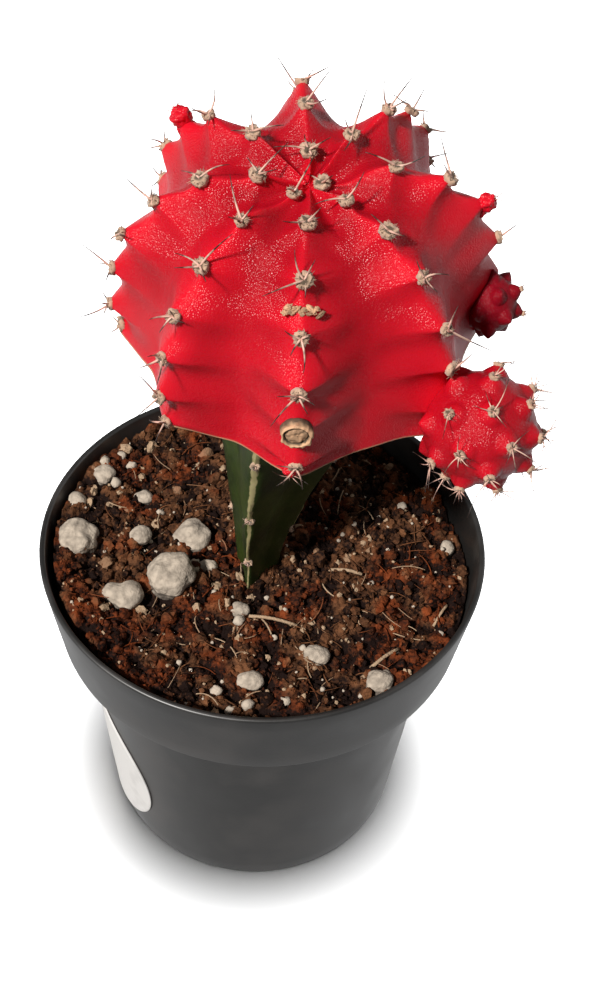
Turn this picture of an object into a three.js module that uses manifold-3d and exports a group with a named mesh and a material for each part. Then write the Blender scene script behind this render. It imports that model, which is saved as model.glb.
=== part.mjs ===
// Potted moon cactus: a red grafted head with two offsets, on a green three-winged
// rootstock, in a small plastic nursery pot. Millimetres, Z up. The origin is the middle
// of the pot's underside, and -Y is the front.
// Azimuths are degrees from the front, growing towards +X.

import * as THREE from 'three';
import { mergeVertices } from 'three/addons/utils/BufferGeometryUtils.js';
import Module from 'manifold-3d';

const wasm = await Module();
wasm.setup();

// Driving dimensions

const GAP = 0.3; // clearance between pieces that touch

const POT = {
  height: 56,
  rimRadius: 32.5,
  bandHeight: 13.5,
  bandFootRadius: 30.7,
  bodyTopRadius: 26.9,
  baseRadius: 23.8,
  wall: 0.9,
  floor: 1.4,
  step: 1.3, // height of the sloping step under the band
  edge: 0.5, // rounding of the lip and of the foot
  sides: 48,
  drainHoles: 5,
  drainRadius: 2.4,
  drainCircle: 15,
};

const STICKER = { radius: 13, azimuth: -68, height: 14.2, thickness: 0.25, gap: 0.12, rings: 5, sides: 24 };

const SOIL = {
  level: 52,
  leftRise: 1.6, // the soil stands this much higher at the left wall
  // low mounds: waves along X and Y in radians per millimetre, phase and height
  mounds: [[0.31, 0.27, 0.5, 0.35], [-0.22, 0.36, 2.1, 0.3], [0.52, -0.47, 0.3, 0.25]],
  sides: 42,
  rings: 7,
};

const STEM = {
  footHeight: 32,
  foot: [-1.0, -2.9], // the stem's middle where it stands in the soil
  top: [2.4, 1.8], // the stem's middle under the head
  leanStart: 54,
  leanEnd: 94,
  footRadius: 3.8,
  topRadius: 13.6,
  flareStart: 52,
  flareEnd: 87,
  leadWing: -12, // azimuth of the front wing
  wings: 3,
  hollow: 0.54, // how far a face lies inside the wing edges, as a share of their radius
  sharpness: 2.4,
  topHeight: 95,
  sides: 36,
  rowHeights: [32, 45, 52, 58, 64, 71, 78, 86],
  areoleHeights: [62.5, 74, 85],
};

const HEAD = {
  centre: [3.7, -0.35, 107.3],
  leanForward: 14.8,
  leanSide: -0.6,
  // radius and height along a rib's crest, and along the furrow between two ribs,
  // from the middle of the crown to the cut base
  crest: [
    [0, 10.6], [3.3, 11.9], [7.7, 13.4], [14.1, 12.1], [18.5, 8.6],
    [22.1, 3.4], [23.3, -2.1], [24.1, -8.5], [23.3, -13.4],
  ],
  furrow: [
    [0, 10.6], [4.2, 10.5], [8.6, 10.9], [12.2, 9.6], [15.2, 6.6],
    [17.6, 2.3], [18.9, -2.8], [19.7, -8.3], [20.8, -13.2],
  ],
  areolePitch: 0.135, // spacing of the areoles, as a share of the crest's length
  toothHeight: 1.4,
  backHollow: 1.8, // how much deeper the furrows lie half way down the back
  crownFade: 0.1, // the teeth grow from nothing over this share of the crest's length
  baseFade: 0.05,
  flankHollow: 0.5, // how far the flanks lie below a straight line, in the crown's half
  hollowStart: 0.15,
  hollowFade: [0.4, 0.75],
  undersideHeight: -12.6,
  columnsPerRib: 6,
  rowsPerAreole: 3,
};

// Each rib's azimuth, the places along its crest of any lone areoles near the crown, and
// the place of the first of the areoles that keep the pitch.
const RIBS = [
  { name: 'back', azimuth: -174, crown: [0.146, 0.3], first: 0.48 },
  { name: 'back_left', azimuth: -126.6, crown: [], first: 0.265 },
  { name: 'left', azimuth: -81.9, crown: [], first: 0.201 },
  { name: 'front_left', azimuth: -42.4, crown: [0.1], first: 0.302 },
  { name: 'front', azimuth: 0.5, crown: [], first: 0.245 },
  { name: 'front_right', azimuth: 48.7, crown: [], first: 0.19 },
  { name: 'right', azimuth: 97.5, crown: [0.06], first: 0.285 },
  { name: 'back_right', azimuth: 142.6, crown: [], first: 0.235 },
];

// areoles that grew into a scar, an offset or a bud, counted from the crown
const SCAR_AREOLE = { rib: 'front', count: 4 };
const BARE_AREOLES = [
  SCAR_AREOLE,
  { rib: 'front_right', count: 5 },
  { rib: 'right', count: 5 },
  { rib: 'right', count: 3 },
  { rib: 'back_left', count: 2 },
];

const AREOLE = { radius: 0.8, height: 0.45, depth: 1.2 };
const SPINE = {
  radius: 0.2, shortest: 2.4, longest: 4.2, perAreole: 3, depth: 0.7,
  lean: 58, leanRange: 16, // degrees away from the areole's own direction
  turnRange: 0.4, // share of the even spacing round the areole
  lengthRange: 0.3,
};
const SCAR = { radius: 1.95, ringWidth: 0.6, height: 0.7, plugRadius: 0.9 };
const SCAB = { along: 0.455, halfLength: 1.9, halfWidth: 0.65, height: 0.35 };

// tiny buds: rib, place along its crest, side step towards larger azimuths, radius
const BUDS = [
  { rib: 'right', along: 0.56, side: 0.4, radius: 1.15 },
  { rib: 'back_left', along: 0.53, side: -0.4, radius: 1.35 },
  { rib: 'front', along: 0.965, side: -0.5, radius: 1.0 },
];

// offsets, in the head's own frame. Nothing of them but their seat comes this near to the
// head's axis above its base.
const OFFSET_CLEARANCE = { radius: 25.6, below: 2.5 };
const SPINE_TO_OFFSET = 1.6;
const OFFSETS = [
  {
    name: 'offset_large', centre: [21.5, -17.8, -9.0], radii: [7.9, 7.9, 7.9], tip: [0.7, -0.55, 0.35],
    areoles: 26, tubercle: 0.12, detail: 4, spineLength: 2.4, spinesPerAreole: 3,
  },
  {
    name: 'offset_small', centre: [22.9, 0.3, -8.7], radii: [4.4, 4.9, 4.9], tip: [0.85, -0.5, -0.1],
    areoles: 15, tubercle: 0.2, detail: 3, spineLength: 1.1, spinesPerAreole: 1,
  },
];

// perlite lumps that lie in the soil's top: place and radius
const PERLITE = [
  [-13.2, -7.5, 3.9], [-7.9, -3.6, 1.3], [-27.0, -1.4, 3.4], [-25.6, 11.8, 1.8],
  [-19.3, -11.1, 2.3], [-10.6, 2.2, 2.5], [-18.3, 0.5, 1.5], [-19.0, 9.2, 1.3],
  [-28.4, 6.2, 1.4], [-2.4, -10.9, 1.3], [-0.3, -23.4, 1.5], [8.7, -18.2, 1.6],
  [17.6, -21.5, 2.0], [27.8, 4.8, 1.2],
];
const PERLITE_SHAPE = { flatness: 0.85, roughness: 0.1, stand: 0.25, lobes: [2.3, 1.9, 2.7] };

const material = (color, roughness) => new THREE.MeshStandardMaterial({ color, roughness, metalness: 0 });
const MATERIALS = {
  plastic: material(0x2b2c2e, 0.45),
  label: material(0xe2e0dd, 0.6),
  peat: material(0x3c2419, 0.95),
  stem: material(0x3f5a2c, 0.5),
  flesh: material(0xcf1620, 0.42),
  darkFlesh: material(0x7a1020, 0.45),
  perlite: material(0xd6d2c6, 0.9),
};

// Small helpers

const radians = THREE.MathUtils.degToRad;
const vector = (values) => new THREE.Vector3(...values);

// point at a radius and height on an azimuth
const atAzimuth = (radius, azimuth, height) =>
  new THREE.Vector3(radius * Math.sin(radians(azimuth)), -radius * Math.cos(radians(azimuth)), height);

// seeded random numbers from 0 to 1
function randomSource(seed) {
  let state = seed;
  return () => {
    state = (state * 1664525 + 1013904223) % 4294967296;
    return state / 4294967296;
  };
}

// A closed body from rings of points, from its top to its bottom. The first and the last
// row are one point each, and columns grow towards larger azimuths.
function ringedSolid(columns, lastRow, point) {
  const positions = [...point(0, 0)];
  for (let row = 1; row < lastRow; row += 1) {
    for (let column = 0; column < columns; column += 1) positions.push(...point(column, row));
  }
  positions.push(...point(0, lastRow));
  const bottom = positions.length / 3 - 1;
  const at = (column, row) => 1 + (row - 1) * columns + (column % columns);
  const index = [];
  for (let column = 0; column < columns; column += 1) {
    index.push(0, at(column, 1), at(column + 1, 1));
    for (let row = 1; row < lastRow - 1; row += 1) {
      index.push(at(column, row), at(column, row + 1), at(column + 1, row + 1));
      index.push(at(column, row), at(column + 1, row + 1), at(column + 1, row));
    }
    index.push(bottom, at(column + 1, lastRow - 1), at(column, lastRow - 1));
  }
  const geometry = new THREE.BufferGeometry();
  geometry.setAttribute('position', new THREE.Float32BufferAttribute(positions, 3));
  geometry.setIndex(index);
  return geometry;
}

// a body of revolution from its profile of [radius, height], from the top to the bottom
function turnedSolid(profile, sides) {
  return ringedSolid(sides, profile.length - 1, (column, row) =>
    atAzimuth(profile[row][0], (column / sides) * 360, profile[row][1]));
}

function toManifold(geometry) {
  const plain = geometry.clone();
  plain.deleteAttribute('normal');
  plain.deleteAttribute('uv');
  const merged = mergeVertices(plain);
  return new wasm.Manifold(new wasm.Mesh({
    numProp: 3,
    vertProperties: new Float32Array(merged.attributes.position.array),
    triVerts: new Uint32Array(merged.index.array),
  }));
}

function toGeometry(solid) {
  const mesh = solid.getMesh();
  const geometry = new THREE.BufferGeometry();
  geometry.setAttribute('position', new THREE.Float32BufferAttribute(mesh.vertProperties, 3));
  geometry.setIndex(Array.from(mesh.triVerts));
  return geometry;
}

const SLIVER = 0.02; // facets thinner than this are merged with their neighbours

// joins geometries in one body, takes others away, and drops any loose scrap
function carve(joined, removed = []) {
  let solid = wasm.Manifold.union(joined.map(toManifold));
  for (const geometry of removed) solid = solid.subtract(toManifold(geometry));
  const pieces = solid.decompose().sort((a, b) => b.volume() - a.volume());
  return toGeometry(pieces[0].simplify(SLIVER));
}

function toMesh(name, geometry, finish) {
  geometry.computeVertexNormals();
  const mesh = new THREE.Mesh(geometry, finish);
  mesh.name = name;
  return mesh;
}

// Areoles and spines, as on every cactus piece here

// two directions square to the normal
function sideDirections(normal) {
  const helper = Math.abs(normal.z) < 0.9 ? new THREE.Vector3(0, 0, 1) : new THREE.Vector3(1, 0, 0);
  const first = new THREE.Vector3().crossVectors(helper, normal).normalize();
  return [first, new THREE.Vector3().crossVectors(normal, first)];
}

// a point around an axis, at an angle in degrees that turns as azimuths do
function aroundAxis(centre, normal, radius, angle, height) {
  const [first, second] = sideDirections(normal);
  return centre.clone()
    .addScaledVector(first, radius * Math.cos(radians(angle)))
    .addScaledVector(second, radius * Math.sin(radians(angle)))
    .addScaledVector(normal, height);
}

// a low woolly cushion, sunk in the flesh
function areolePad(centre, normal, size = 1) {
  const rows = [[0, AREOLE.height], [AREOLE.radius, 0], [0, -AREOLE.depth]];
  const sides = 5;
  return ringedSolid(sides, 2, (column, row) =>
    aroundAxis(centre, normal, rows[row][0] * size, (column / sides) * 360, rows[row][1] * size));
}

// a thin thorn with three sides that starts inside its areole
function spine(centre, normal, direction, length) {
  const sides = 3;
  const tip = centre.clone().addScaledVector(direction, length);
  const root = centre.clone().addScaledVector(normal, -SPINE.depth);
  const rows = [[tip, 0], [root, 1], [root, 0]];
  return ringedSolid(sides, 2, (column, row) =>
    aroundAxis(rows[row][0], direction, SPINE.radius * rows[row][1], (column / sides) * 360, 0));
}

// a ring of spines that lean out evenly from an areole, without those that the test refuses
function spineCluster(centre, normal, count, length, random, isClear = () => true) {
  const spines = [];
  const start = random() * 360;
  for (let number = 0; number < count; number += 1) {
    const lean = SPINE.lean + (random() - 0.5) * SPINE.leanRange;
    const turn = start + ((number + (random() - 0.5) * SPINE.turnRange) * 360) / count;
    const [across, out] = [Math.sin(radians(lean)), Math.cos(radians(lean))];
    const direction = aroundAxis(new THREE.Vector3(), normal, across, turn, out);
    const reach = length * (1 + (random() - 0.5) * SPINE.lengthRange);
    const tip = centre.clone().addScaledVector(direction, reach);
    if (isClear(tip)) spines.push(spine(centre, normal, direction, reach));
  }
  return spines;
}

// The pot

function bodyRadius(height) {
  const bodyTop = POT.height - POT.bandHeight - POT.step;
  return POT.baseRadius + ((POT.bodyTopRadius - POT.baseRadius) * height) / bodyTop;
}

function bandRadius(height) {
  const share = (height - POT.height + POT.bandHeight) / POT.bandHeight;
  return POT.bandFootRadius + (POT.rimRadius - POT.bandFootRadius) * share;
}

// inside of the wall, from the lip to the floor, moved in by a clearance
function innerProfile(clearance, top) {
  const bandFoot = POT.height - POT.bandHeight;
  const inset = POT.wall + clearance;
  return [
    [bandRadius(top) - inset, top],
    [bandRadius(bandFoot + POT.wall) - inset, bandFoot + POT.wall],
    [bodyRadius(bandFoot - POT.step) - inset, bandFoot - POT.step + POT.wall],
    [bodyRadius(POT.floor) - inset, POT.floor],
  ];
}

function makePot() {
  const bandFoot = POT.height - POT.bandHeight;
  const inside = innerProfile(0, POT.height - POT.edge);
  const profile = [
    [0, POT.floor],
    ...inside.slice().reverse(),
    [inside[0][0] + POT.edge * 0.5, POT.height],
    [POT.rimRadius - POT.edge * 0.4, POT.height],
    [POT.rimRadius, POT.height - POT.edge],
    [POT.bandFootRadius, bandFoot],
    [bodyRadius(bandFoot - POT.step), bandFoot - POT.step],
    [POT.baseRadius, POT.edge],
    [POT.baseRadius - POT.edge, 0],
    [0, 0],
  ];
  const holes = [];
  for (let number = 0; number < POT.drainHoles; number += 1) {
    const hole = new THREE.CylinderGeometry(POT.drainRadius, POT.drainRadius, POT.floor * 3, 14);
    hole.rotateX(Math.PI / 2);
    hole.translate(...atAzimuth(POT.drainCircle, (number / POT.drainHoles) * 360, 0));
    holes.push(hole);
  }
  return carve([turnedSolid(profile, POT.sides)], holes);
}

// A round label that is wrapped on the pot's body. It stands a hair off the wall.
function makeSticker() {
  const { radius, azimuth, height, thickness, gap, rings, sides } = STICKER;
  const lastRow = 2 * rings + 1;
  return ringedSolid(sides, lastRow, (column, row) => {
    const outside = row <= rings;
    const reach = (radius * (outside ? row : lastRow - row)) / rings;
    const turn = (column / sides) * 2 * Math.PI;
    const level = height + reach * Math.cos(turn);
    const surface = bodyRadius(level) + gap;
    const swing = THREE.MathUtils.radToDeg((-reach * Math.sin(turn)) / surface);
    return atAzimuth(surface + (outside ? thickness : 0), azimuth + swing, level);
  });
}

// The rootstock

function wingRadius(height) {
  const share = THREE.MathUtils.smoothstep(height, STEM.flareStart, STEM.flareEnd);
  return STEM.footRadius + (STEM.topRadius - STEM.footRadius) * share;
}

// radius of the three-winged section on an azimuth
function stemRadius(azimuth, height) {
  const pitch = 360 / STEM.wings;
  const turns = (azimuth - STEM.leadWing) / pitch;
  const fromWing = Math.abs(turns - Math.round(turns)) * 2;
  return wingRadius(height) * (1 - STEM.hollow * (1 - (1 - fromWing) ** STEM.sharpness));
}

// the stem's middle leans over towards the head as it rises
function stemMiddle(height) {
  const share = THREE.MathUtils.smoothstep(height, STEM.leanStart, STEM.leanEnd);
  return new THREE.Vector3(...STEM.foot, 0).lerp(new THREE.Vector3(...STEM.top, 0), share);
}

// places a point of the head's own frame in the part's frame
const headTurn = new THREE.Euler(radians(HEAD.leanForward), radians(HEAD.leanSide), 0, 'YXZ');
const fromHead = (point) => point.clone().applyEuler(headTurn).add(vector(HEAD.centre));

// height of the graft's cut face under the head, which slopes as the head leans
function graftHeight(point) {
  const onFace = fromHead(new THREE.Vector3(0, 0, HEAD.undersideHeight - GAP));
  const normal = new THREE.Vector3(0, 0, 1).applyEuler(headTurn);
  return onFace.z - (normal.x * (point.x - onFace.x) + normal.y * (point.y - onFace.y)) / normal.z;
}

function stemPoint(azimuth, height, clearance = 0) {
  return atAzimuth(stemRadius(azimuth, height) + clearance, azimuth, height).add(stemMiddle(height));
}

function makeRootstock(random) {
  const { topHeight } = STEM;
  const heights = [...STEM.rowHeights].reverse();
  const lastRow = heights.length + 2;
  const body = ringedSolid(STEM.sides, lastRow, (column, row) => {
    if (row === lastRow) return [...STEM.foot, STEM.footHeight];
    const azimuth = STEM.leadWing + (column / STEM.sides) * 360;
    const cut = row === 0 ? stemMiddle(topHeight) : stemPoint(azimuth, topHeight);
    if (row < 2) return [cut.x, cut.y, graftHeight(cut)];
    return stemPoint(azimuth, heights[row - 2]);
  });
  const extras = [];
  for (let wing = 0; wing < STEM.wings; wing += 1) {
    const azimuth = STEM.leadWing + (wing * 360) / STEM.wings;
    for (const height of STEM.areoleHeights) {
      const level = height + wing * 1.5;
      const outward = atAzimuth(1, azimuth, 0);
      const centre = stemPoint(azimuth, level).addScaledVector(outward, -0.3);
      extras.push(areolePad(centre, outward), ...spineCluster(centre, outward, 2, 2.6, random));
    }
  }
  return carve([body, ...extras]);
}

// The soil

function soilHeight(x, y) {
  let height = SOIL.level - (SOIL.leftRise * x) / POT.rimRadius;
  for (const [alongX, alongY, phase, size] of SOIL.mounds) {
    height += size * Math.sin(alongX * x + alongY * y + phase);
  }
  return height;
}

function perliteLump([x, y, radius], extra) {
  const lump = new THREE.IcosahedronGeometry(1, 1);
  lump.deleteAttribute('normal');
  lump.deleteAttribute('uv');
  const geometry = mergeVertices(lump);
  const places = geometry.attributes.position;
  const height = soilHeight(x, y) + PERLITE_SHAPE.stand * radius;
  for (let number = 0; number < places.count; number += 1) {
    const direction = new THREE.Vector3().fromBufferAttribute(places, number);
    const wobble = ['x', 'y', 'z'].reduce((sum, axis, order) =>
      sum + Math.sin(PERLITE_SHAPE.lobes[order] * direction[axis] + (order === 0 ? x : y)), 0);
    const reach = radius * (1 + PERLITE_SHAPE.roughness * wobble) + extra;
    direction.multiply(new THREE.Vector3(reach, reach, reach * PERLITE_SHAPE.flatness + extra * 0.15));
    places.setXYZ(number, x + direction.x, y + direction.y, height + direction.z);
  }
  return geometry;
}

// The soil fills the pot, with a plain hole for the stem's foot and a pocket for each lump.
function makeSoil() {
  const { sides, rings } = SOIL;
  const top = POT.height - 4;
  const wall = innerProfile(GAP, top).slice(1);
  const holeClearance = GAP + 0.15;
  const holeHeights = [45, STEM.footHeight - GAP];
  const lastRow = 1 + holeHeights.length + rings + wall.length + 1;
  const body = ringedSolid(sides, lastRow, (column, row) => {
    const azimuth = STEM.leadWing + (column / sides) * 360;
    if (row === 0) return [...STEM.foot, STEM.footHeight - GAP];
    if (row === lastRow) return [0, 0, POT.floor];
    if (row <= holeHeights.length) {
      return stemPoint(azimuth, holeHeights[holeHeights.length - row], holeClearance);
    }
    const ring = row - holeHeights.length - 1;
    if (ring <= rings) {
      const atWall = atAzimuth(bandRadius(SOIL.level - 2) - POT.wall - GAP, azimuth, 0);
      const place = stemPoint(azimuth, SOIL.level + 1, holeClearance).lerp(atWall, ring / rings);
      return [place.x, place.y, soilHeight(place.x, place.y)];
    }
    const [radius, height] = wall[ring - rings - 1];
    return atAzimuth(radius, azimuth, height);
  });
  return carve([body], PERLITE.map((lump) => perliteLump(lump, GAP + 0.05)));
}

// The head

const crestLine = new THREE.SplineCurve(HEAD.crest.map(([r, z]) => new THREE.Vector2(r, z)));
const furrowLine = new THREE.SplineCurve(HEAD.furrow.map(([r, z]) => new THREE.Vector2(r, z)));
const headMiddle = new THREE.Vector3(0, 0, -3);

// places of a rib's areoles along its crest, on past the base
function areolePlaces(rib) {
  const places = [...rib.crown];
  for (let place = rib.first; place < 1 + 2 * HEAD.areolePitch; place += HEAD.areolePitch) places.push(place);
  return places;
}

// how deep the crest is notched between two areoles: 0 at an areole, 1 half way
function notch(rib, along) {
  const places = areolePlaces(rib);
  const next = places.findIndex((place) => place > along);
  if (next === 0) return 0;
  const share = (along - places[next - 1]) / (places[next] - places[next - 1]);
  const fade = Math.min(1, along / HEAD.crownFade, (1 - along) / HEAD.baseFade);
  return Math.sin(Math.PI * share) * fade;
}

// outward direction of the crest, square to its line
function crestNormal(rib, along) {
  const tangent = crestLine.getTangent(Math.min(along, 0.999));
  return atAzimuth(-tangent.y, rib.azimuth, tangent.x);
}

function crestPoint(rib, along) {
  const place = crestLine.getPoint(along);
  const point = atAzimuth(place.x, rib.azimuth, place.y);
  return point.addScaledVector(crestNormal(rib, along), -HEAD.toothHeight * notch(rib, along));
}

// The furrows lie deeper half way down the back.
function furrowPoint(azimuth, along) {
  const place = furrowLine.getPoint(along);
  const backness = (1 - Math.cos(radians(azimuth))) / 2;
  const extra = HEAD.backHollow * backness * Math.sin(Math.PI * Math.min(1, along));
  return atAzimuth(place.x - extra, azimuth, place.y);
}

// Rows follow the areoles of each rib, so that each tooth has a row at its peak.
const meanShift = 0.07;
const shiftFade = 0.12; // the shift of the rows fades out over this share at both ends
function alongRib(rib, place) {
  const window = Math.min(1, place / shiftFade, (1 - place) / shiftFade);
  return place + ((rib.first % HEAD.areolePitch) - meanShift) * window;
}

// a point of the ribbed skin: a rib number, the share of the way to the next rib, and the
// place from the crown, 0, to the base, 1
function headPoint(ribNumber, across, place, swell = 0) {
  const from = RIBS[ribNumber];
  const to = RIBS[(ribNumber + 1) % RIBS.length];
  const toAzimuth = to.azimuth < from.azimuth ? to.azimuth + 360 : to.azimuth;
  const along = THREE.MathUtils.lerp(alongRib(from, place), alongRib(to, place), across);
  const crest = across < 0.5 ? crestPoint(from, along) : crestPoint(to, along);
  const furrow = furrowPoint((from.azimuth + toAzimuth) / 2, along);
  const nearness = Math.abs(1 - 2 * across); // 1 on a crest, 0 in the furrow
  const point = furrow.lerp(crest, nearness);
  const outward = point.clone().sub(headMiddle).normalize();
  const inCrown = 1 - THREE.MathUtils.smoothstep(place, ...HEAD.hollowFade);
  const upper = Math.min(1, place / HEAD.hollowStart) * inCrown;
  const hollow = HEAD.flankHollow * 4 * nearness * (1 - nearness) * upper;
  return point.addScaledVector(outward, swell - hollow);
}

function headBody(swell = 0) {
  const columns = RIBS.length * HEAD.columnsPerRib;
  const places = [0];
  const step = HEAD.areolePitch / HEAD.rowsPerAreole;
  for (let place = meanShift - step; place < 0.985; place += step) places.push(place);
  places.push(1);
  const underside = [0.9, 0.5, 0]; // share of the base outline's radius, inwards
  return ringedSolid(columns, places.length + underside.length - 1, (column, row) => {
    const ribNumber = Math.floor(column / HEAD.columnsPerRib);
    const across = (column % HEAD.columnsPerRib) / HEAD.columnsPerRib;
    if (row < places.length) return headPoint(ribNumber, across, places[row], swell);
    const share = underside[row - places.length];
    const rim = headPoint(ribNumber, across, 1, swell);
    return [rim.x * share, rim.y * share, HEAD.undersideHeight - swell];
  });
}

// places of the areoles of a rib that still carry spines
function spinyAreoles(rib) {
  const isBare = (count) => BARE_AREOLES.some((one) => one.rib === rib.name && one.count === count);
  return areolePlaces(rib).filter((place, count) => place < 0.985 && !isBare(count));
}

const ribNamed = (name) => RIBS.find((rib) => rib.name === name);

// a corky ring with a plug in its middle, where a stalk has dropped off
function makeScar() {
  const rib = ribNamed(SCAR_AREOLE.rib);
  const along = areolePlaces(rib)[SCAR_AREOLE.count];
  const normal = crestNormal(rib, along);
  const centre = crestPoint(rib, along);
  const inner = SCAR.radius - SCAR.ringWidth;
  const rows = [
    [0, SCAR.height * 0.7], [SCAR.plugRadius, SCAR.height * 0.5], [SCAR.plugRadius + 0.15, SCAR.height * 0.1],
    [inner, SCAR.height * 0.3], [inner + SCAR.ringWidth / 2, SCAR.height], [SCAR.radius, 0], [0, -2.4],
  ];
  const sides = 12;
  return ringedSolid(sides, rows.length - 1, (column, row) =>
    aroundAxis(centre, normal, rows[row][0], (column / sides) * 360, rows[row][1]));
}

// a flat corky scab across the front crest
function makeScab() {
  const rib = ribNamed('front');
  const normal = crestNormal(rib, SCAB.along);
  const centre = crestPoint(rib, SCAB.along).addScaledVector(normal, SCAB.height);
  const turn = new THREE.Matrix4().lookAt(normal, new THREE.Vector3(), new THREE.Vector3(0, 0, 1));
  const scab = new THREE.BoxGeometry(SCAB.halfLength * 2, SCAB.halfWidth * 2, 2.4);
  scab.translate(0, 0, -1.2);
  return scab.applyMatrix4(turn).translate(...centre);
}

function makeBud(bud) {
  const rib = ribNamed(bud.rib);
  const side = atAzimuth(1, rib.azimuth + 90, 0);
  const centre = crestPoint(rib, bud.along)
    .addScaledVector(crestNormal(rib, bud.along), bud.radius * 0.5)
    .addScaledVector(side, bud.side);
  return new THREE.IcosahedronGeometry(bud.radius, 1).translate(...centre);
}

// true where a point keeps a distance from both offsets
function clearOfOffsets(point, distance) {
  return OFFSETS.every(({ centre, radii }) => point.distanceTo(vector(centre)) > Math.max(...radii) + distance);
}

function clearOfHead(point) {
  const beside = Math.hypot(point.x, point.y) > OFFSET_CLEARANCE.radius;
  return beside || point.z < HEAD.undersideHeight - OFFSET_CLEARANCE.below;
}

function makeHead(random) {
  const pieces = [headBody(), makeScar(), makeScab(), ...BUDS.map(makeBud)];
  for (const rib of RIBS) {
    for (const along of spinyAreoles(rib)) {
      const centre = crestPoint(rib, along);
      if (!clearOfOffsets(centre, AREOLE.radius)) continue;
      const normal = crestNormal(rib, along);
      const length = THREE.MathUtils.lerp(SPINE.shortest, SPINE.longest, random());
      const tipIsClear = (tip) => clearOfOffsets(tip, SPINE_TO_OFFSET);
      pieces.push(areolePad(centre, normal));
      pieces.push(...spineCluster(centre, normal, SPINE.perAreole, length, random, tipIsClear));
    }
  }
  return carve(pieces);
}

// The offsets

// evenly spread directions round the offset's tip, on a spiral that stops short of its root
function spiralDirections(tip, count) {
  const goldenAngle = 137.508;
  const span = 1.72; // share of the ball's radius that the spiral covers along the tip's axis
  const directions = [];
  for (let number = 0; number < count; number += 1) {
    const height = 1 - (span * (number + 0.5)) / count;
    const radius = Math.sqrt(1 - height * height);
    directions.push(aroundAxis(new THREE.Vector3(), tip, radius, number * goldenAngle, height));
  }
  return directions;
}

// A rounded offset with a tubercle under each areole, hollowed where it sits on the head
function makeOffset(offset, random) {
  const surfacePoint = (direction, share) =>
    vector(offset.radii).multiplyScalar(share).multiply(direction).add(vector(offset.centre));
  const directions = spiralDirections(vector(offset.tip).normalize(), offset.areoles);
  const tubercleAngle = 1.25 / Math.sqrt(offset.areoles); // radians from a tubercle's peak to its foot
  const lift = (direction) => {
    const nearest = Math.min(...directions.map((other) => direction.angleTo(other)));
    return 1 - offset.tubercle * Math.min(1, nearest / tubercleAngle);
  };
  const ball = new THREE.IcosahedronGeometry(1, offset.detail);
  ball.deleteAttribute('normal');
  ball.deleteAttribute('uv');
  const body = mergeVertices(ball);
  const places = body.attributes.position;
  for (let number = 0; number < places.count; number += 1) {
    const direction = new THREE.Vector3().fromBufferAttribute(places, number).normalize();
    const point = surfacePoint(direction, lift(direction));
    places.setXYZ(number, point.x, point.y, point.z);
  }
  const pieces = [body];
  for (const direction of directions) {
    const areole = surfacePoint(direction, 0.99);
    if (!clearOfHead(areole)) continue;
    pieces.push(areolePad(areole, direction, 0.6));
    const count = offset.spinesPerAreole;
    pieces.push(...spineCluster(areole, direction, count, offset.spineLength, random, clearOfHead));
  }
  return carve(pieces, [headBody(GAP + 0.1)]);
}

// The whole plant in its pot

const cactus = new THREE.Group();
cactus.add(toMesh('pot', makePot(), MATERIALS.plastic));
cactus.add(toMesh('sticker', makeSticker(), MATERIALS.label));
cactus.add(toMesh('soil', makeSoil(), MATERIALS.peat));
PERLITE.forEach((lump, number) => {
  const name = `perlite_${String(number + 1).padStart(2, '0')}`;
  cactus.add(toMesh(name, perliteLump(lump, 0), MATERIALS.perlite));
});
cactus.add(toMesh('rootstock', makeRootstock(randomSource(3)), MATERIALS.stem));

const head = new THREE.Group();
head.position.copy(vector(HEAD.centre));
head.rotation.copy(headTurn);
head.add(toMesh('scion', makeHead(randomSource(13)), MATERIALS.flesh));
OFFSETS.forEach((offset, number) => {
  const finish = offset.name === 'offset_small' ? MATERIALS.darkFlesh : MATERIALS.flesh;
  head.add(toMesh(offset.name, makeOffset(offset, randomSource(21 + number)), finish));
});
cactus.add(head);

export default cactus;
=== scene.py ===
"""Potted moon cactus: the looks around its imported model.

The tables hold millimetres and degrees, and Blender gets metres. Z is up, -Y is the front,
and azimuths are counted from the front, growing towards +X.
"""

from collections import namedtuple

import bpy
import numpy as np
from mathutils import Euler, Matrix, noise


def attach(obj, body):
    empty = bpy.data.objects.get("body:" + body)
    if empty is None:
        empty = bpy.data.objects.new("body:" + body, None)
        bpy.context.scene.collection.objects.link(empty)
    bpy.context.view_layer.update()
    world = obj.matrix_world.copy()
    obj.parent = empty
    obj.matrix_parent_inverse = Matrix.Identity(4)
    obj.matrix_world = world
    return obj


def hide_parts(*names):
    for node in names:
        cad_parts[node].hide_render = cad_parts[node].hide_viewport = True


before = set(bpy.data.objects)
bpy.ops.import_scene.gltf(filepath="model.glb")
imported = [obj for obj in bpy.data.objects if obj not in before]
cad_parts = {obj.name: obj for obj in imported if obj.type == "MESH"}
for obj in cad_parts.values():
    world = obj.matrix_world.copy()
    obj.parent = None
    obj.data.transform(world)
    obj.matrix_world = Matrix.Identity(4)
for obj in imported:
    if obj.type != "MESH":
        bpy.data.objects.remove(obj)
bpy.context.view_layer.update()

bl_info = {
    "name": "Potted Moon Cactus",
    "version": (1, 0, 0),
    "blender": (4, 5, 0),
    "location": "3D View > Sidebar > Moon Cactus",
    "description": "Builds a red grafted cactus in a small nursery pot, on a pale floor",
    "category": "Add Mesh",
}

MM = 0.001
BODY = "root"

# The pot, in profile

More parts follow.
